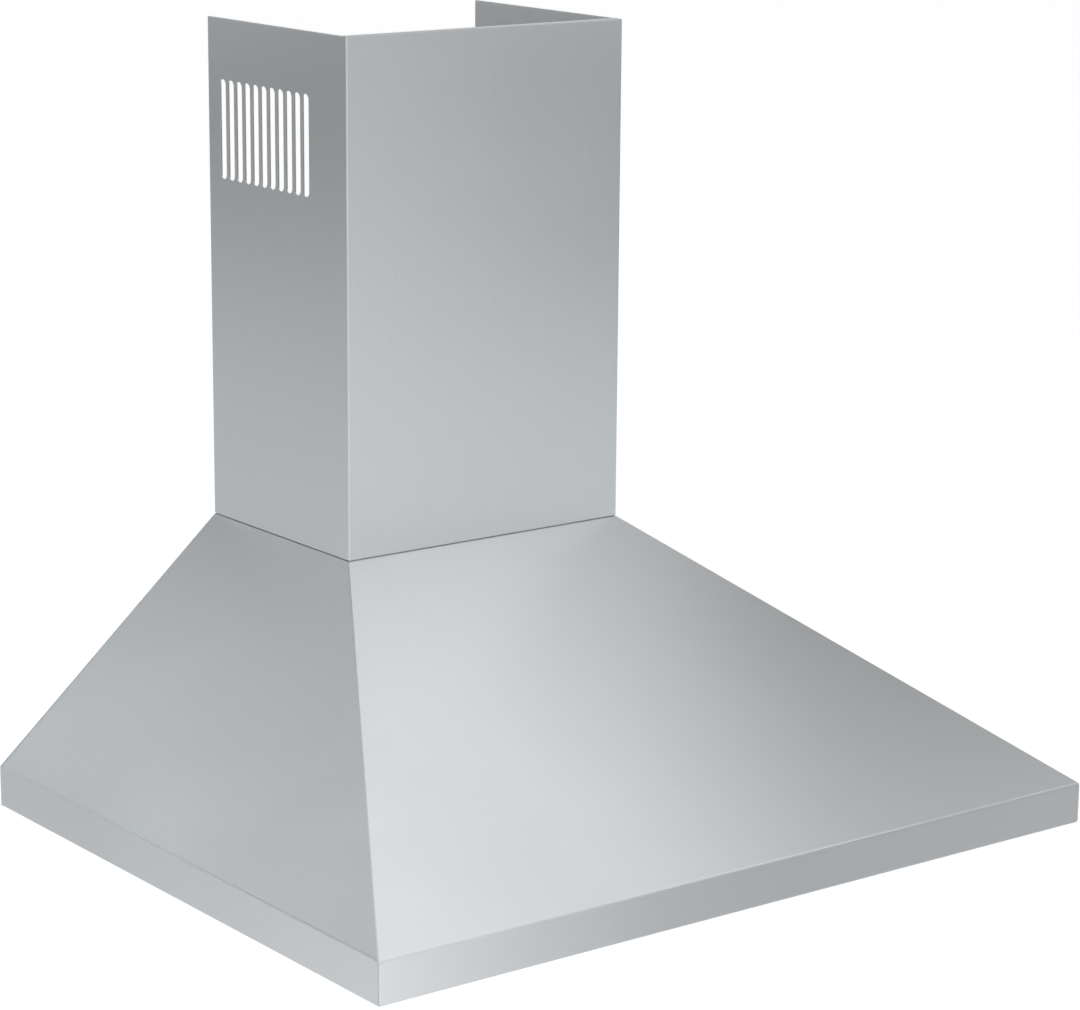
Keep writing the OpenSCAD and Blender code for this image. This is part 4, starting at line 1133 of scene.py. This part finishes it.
# Reflectors, seen only in the steel. The levels and spots of the first four come from a least-squares fit
# to the photo's brightness at about 70 places on the sheets, made outside this file. They were rounded to
# steps of 0.1 or 0.05 and then tried, and most are still the fit's own. The levels of bend_card and
# edge_card were set by such trials alone. A level is the brightness in the middle of a card and how much
# it rises to the card's right and to its top. A spot is a soft bright or dark place on a card, with its
# centre and spread in shares of the card. No place is dimmer or brighter than the two limits.
Card = namedtuple("Card", "name place target size tint level spots")
Spot = namedtuple("Spot", "side up width height strength")
CARD_STEPS = 16
DIMMEST = 0.1
BRIGHTEST = 1.7
WHITE = (1.0, 1.0, 1.0)
COOL = (0.955, 0.98, 1.0)
CARDS = (
    # Chimney front and rim front: light from low on the right, with a dark gap between two bright places.
    Card("front_card", place=(0.65, -1.15, 0), target=(0, -0.28, 0), size=(2.6, 1.9), tint=COOL,
         level=(0.4, 1.6, -1.4),
         spots=(Spot(side=0.1, up=0.4, width=0.3, height=0.1, strength=1.6),
                Spot(side=0.6, up=0.25, width=0.1, height=0.25, strength=-1.6),
                Spot(side=0.7, up=0.25, width=0.15, height=0.6, strength=1.6))),
    # Left sides of the chimney, the pyramid and the rim.
    Card("side_card", place=(-0.8, 0.75, 0), target=(-0.18, -0.05, 0), size=(2.4, 1.7), tint=COOL,
         level=(0.4, 1.2, -1.1),
         spots=(Spot(side=0.6, up=0.5, width=0.3, height=0.1, strength=0.4),
                Spot(side=0.2, up=0.2, width=0.2, height=0.2, strength=1.6))),
    # Pyramid front: bright to the upper right, darker in a wide band below it.
    Card("top_card", place=(0.62, -0.07, 0.85), target=(0, -0.33, 0), size=(1.6, 1.6), tint=WHITE,
         level=(0.6, 1.6, 1.6),
         spots=(Spot(side=0.6, up=0.25, width=0.8, height=0.25, strength=-1.8),
                Spot(side=0.6, up=0.65, width=0.25, height=0.2, strength=1.6))),
    # Left of the pyramid front: dark behind the hood, with one tall bright place.
    Card("back_card", place=(-0.36, 0.62, 0.72), target=(-0.2, -0.2, 0), size=(1.4, 1.3), tint=COOL,
         level=(0.1, -1.4, -1.8),
         spots=(Spot(side=0.25, up=0.3, width=0.2, height=0.7, strength=1.7),)),
    # Light line along the fold between pyramid and rim.
    Card("bend_card", place=(0.8, -0.9, 0.6), target=(0.1, -0.478, -0.08), size=(1.8, 0.55), tint=WHITE,
         level=(1.5, 0, 0),
         spots=()),
    # Light line along the chimney's folded top edge.
    Card("edge_card", place=(0.36, 0.3, 0.56), target=(0, -0.15, 0.447), size=(0.8, 0.2), tint=WHITE,
         level=(1.0, 0, 0),
         spots=()),
)


class HOOD_OT_stage(bpy.types.Operator):
    """Camera, plain pale floor and soft studio light"""
    bl_idname = "hood.stage"
    bl_label = "Camera, floor and light"

    def camera(self, scene):
        """Camera at its place, turned by yaw, pitch and roll."""
        stage = scene.hood_stage
        yaw, pitch, roll = stage.camera_yaw, stage.camera_pitch, stage.camera_roll
        ahead = Vector((math.sin(yaw) * math.cos(pitch), math.cos(yaw) * math.cos(pitch), -math.sin(pitch)))
        right = Vector((math.cos(yaw), -math.sin(yaw), 0))
        up = right.cross(ahead)
        across = math.cos(roll) * right + math.sin(roll) * up
        upward = math.cos(roll) * up - math.sin(roll) * right
        data = bpy.data.cameras.new("camera")
        data.lens = stage.lens
        data.sensor_width = 36
        data.clip_start = 0.05
        data.clip_end = 200
        camera = bpy.data.objects.new("camera", data)
        turn = Matrix((across, upward, -ahead)).transposed().to_4x4()
        camera.matrix_world = Matrix.Translation(stage.camera_place) @ turn
        scene.collection.objects.link(camera)
        scene.camera = camera

    def sky(self, scene):
        """White for the camera and for reflections, soft grey for everything else."""
        world = bpy.data.worlds.new("studio")
        scene.world = world
        world.use_nodes = True
        tree = world.node_tree
        tree.nodes.clear()
        path = add_node(tree, "LightPath")
        seen = path.outputs["Is Camera Ray"]
        for ray in ("Is Glossy Ray", "Is Transmission Ray"):
            seen = add_node(tree, "Math", {0: seen, 1: path.outputs[ray]}, operation="MAXIMUM").outputs[0]
        white = add_node(tree, "Background", {"Color": (1, 1, 1, 1), "Strength": 1.0})
        grey = add_node(tree, "Background", {"Color": (1, 1, 1, 1), "Strength": scene.hood_stage.sky})
        mixed = add_node(tree, "MixShader", {0: seen, 1: grey.outputs[0], 2: white.outputs[0]})
        output = add_node(tree, "OutputWorld")
        tree.links.new(mixed.outputs[0], output.inputs[0])

    def facing(self, place, target, front):
        """Place and turn of a thing whose front axis looks at the target."""
        turn = (Vector(target) - Vector(place)).to_track_quat(front, "Y").to_matrix().to_4x4()
        return Matrix.Translation(place) @ turn

    def front_only(self, mesh, make_shader):
        """Gives a mesh a material that is seen on the faces' front and is clear from behind."""
        material = bpy.data.materials.new(mesh.name)
        material.use_nodes = True
        tree = material.node_tree
        tree.nodes.clear()
        clear = add_node(tree, "BsdfTransparent").outputs[0]
        back = add_node(tree, "NewGeometry").outputs["Backfacing"]
        mixed = add_node(tree, "MixShader", {0: back, 1: make_shader(tree), 2: clear})
        output = add_node(tree, "OutputMaterial")
        tree.links.new(mixed.outputs[0], output.inputs[0])
        mesh.materials.append(material)

    def floor(self, scene):
        """Pale floor that keeps shadows, seen from above only."""
        bm = bmesh.new()
        reach = 40
        own_light = 0.55
        z = RIM_Z - scene.hood_stage.floor_drop
        corners = ((-reach, -reach), (reach, -reach), (reach, reach), (-reach, reach))
        bm.faces.new([bm.verts.new((x, y, z)) for x, y in corners])
        mesh = bpy.data.meshes.new("floor")
        bm.to_mesh(mesh)
        bm.free()

        def pale(tree):
            paint = add_node(tree, "BsdfDiffuse", {"Color": (0.8, 0.8, 0.8, 1)}).outputs[0]
            light = add_node(tree, "Emission", {"Color": (1, 1, 1, 1), "Strength": own_light}).outputs[0]
            return add_node(tree, "AddShader", {0: paint, 1: light}).outputs[0]

        self.front_only(mesh, pale)
        floor = bpy.data.objects.new("floor", mesh)
        scene.collection.objects.link(floor)

    def card(self, scene, card):
        """Reflector seen only in the steel, with soft bright and dark spots on it."""
        width, height = card.size
        bm = bmesh.new()
        layer = bm.verts.layers.float.new("glow")
        grid = []
        for i in range(CARD_STEPS + 1):
            up = i / CARD_STEPS
            row = []
            for j in range(CARD_STEPS + 1):
                side = j / CARD_STEPS
                vert = bm.verts.new((width * (side - 0.5), height * (up - 0.5), 0))
                vert[layer] = self.glow(card, side, up)
                row.append(vert)
            grid.append(row)
        for row, above in zip(grid, grid[1:]):
            for a, b, c, d in zip(row, row[1:], above[1:], above):
                bm.faces.new([a, b, c, d])
        mesh = bpy.data.meshes.new(card.name)
        bm.to_mesh(mesh)
        bm.free()

        def shine(tree):
            value = add_node(tree, "Attribute", attribute_name="glow").outputs["Fac"]
            return add_node(tree, "Emission", {"Color": (*card.tint, 1), "Strength": value}).outputs[0]

        self.front_only(mesh, shine)
        piece = bpy.data.objects.new(card.name, mesh)
        piece.matrix_world = self.facing(card.place, card.target, "Z")
        scene.collection.objects.link(piece)
        for ray in ("camera", "diffuse", "shadow", "transmission", "volume_scatter"):
            setattr(piece, "visible_" + ray, False)

    def glow(self, card, side, up):
        """Brightness at a place on the card, given in shares of its width and height."""
        middle, to_right, to_top = card.level
        value = middle + to_right * (side - 0.5) + to_top * (up - 0.5)
        for spot in card.spots:
            away = ((side - spot.side) / spot.width) ** 2 + ((up - spot.up) / spot.height) ** 2
            value += spot.strength * math.exp(-away)
        return min(max(value, DIMMEST), BRIGHTEST)

    def top_light(self, scene):
        """Wide soft light from the upper front left, which the steel doesn't mirror."""
        data = bpy.data.lights.new("top_light", "AREA")
        data.shape = "RECTANGLE"
        data.size = 2.4
        data.size_y = 2.4
        data.energy = 45
        light = bpy.data.objects.new("top_light", data)
        light.matrix_world = self.facing(place=(-0.8, -1.2, 2.6), target=(0, -0.2, 0.1), front="-Z")
        scene.collection.objects.link(light)
        light.visible_camera = False
        light.visible_glossy = False

    def execute(self, context):
        scene = context.scene
        scene.view_settings.view_transform = "Standard"
        self.camera(scene)
        self.sky(scene)
        self.floor(scene)
        self.top_light(scene)
        for card in CARDS:
            self.card(scene, card)
        return {"FINISHED"}


OPERATORS = (HOOD_OT_canopy, HOOD_OT_chimney, HOOD_OT_underside, HOOD_OT_lamps, HOOD_OT_controls,
             HOOD_OT_filters, HOOD_OT_blower, HOOD_OT_electrics, HOOD_OT_fasteners, HOOD_OT_stage)
SETTINGS = {
    "hood_sheets": HoodSheetSettings,
    "hood_slots": HoodSlotSettings,
    "hood_filters": HoodFilterSettings,
    "hood_colours": HoodColourSettings,
    "hood_stage": HoodStageSettings,
}


class HOOD_PT_pieces(bpy.types.Panel):
    """Lists the steps that build the hood's looks, and their settings"""
    bl_idname = "HOOD_PT_pieces"
    bl_label = "Range hood"
    bl_space_type = "VIEW_3D"
    bl_region_type = "UI"
    bl_category = "Hood"

    def draw(self, context):
        for operator in OPERATORS:
            self.layout.operator(operator.bl_idname)
        for name, kind in SETTINGS.items():
            for setting in kind.__annotations__:
                self.layout.prop(getattr(context.scene, name), setting)


def register():
    for kind in (*SETTINGS.values(), *OPERATORS, HOOD_PT_pieces):
        bpy.utils.register_class(kind)
    for name, kind in SETTINGS.items():
        setattr(bpy.types.Scene, name, bpy.props.PointerProperty(type=kind))


def unregister():
    for name in SETTINGS:
        delattr(bpy.types.Scene, name)
    for kind in (HOOD_PT_pieces, *reversed(OPERATORS), *reversed(SETTINGS.values())):
        bpy.utils.unregister_class(kind)


def main():
    """Builds all looks."""
    register()
    for operator in OPERATORS:
        getattr(bpy.ops.hood, operator.bl_idname.split(".")[1])()


if __name__ == "__main__":
    main()
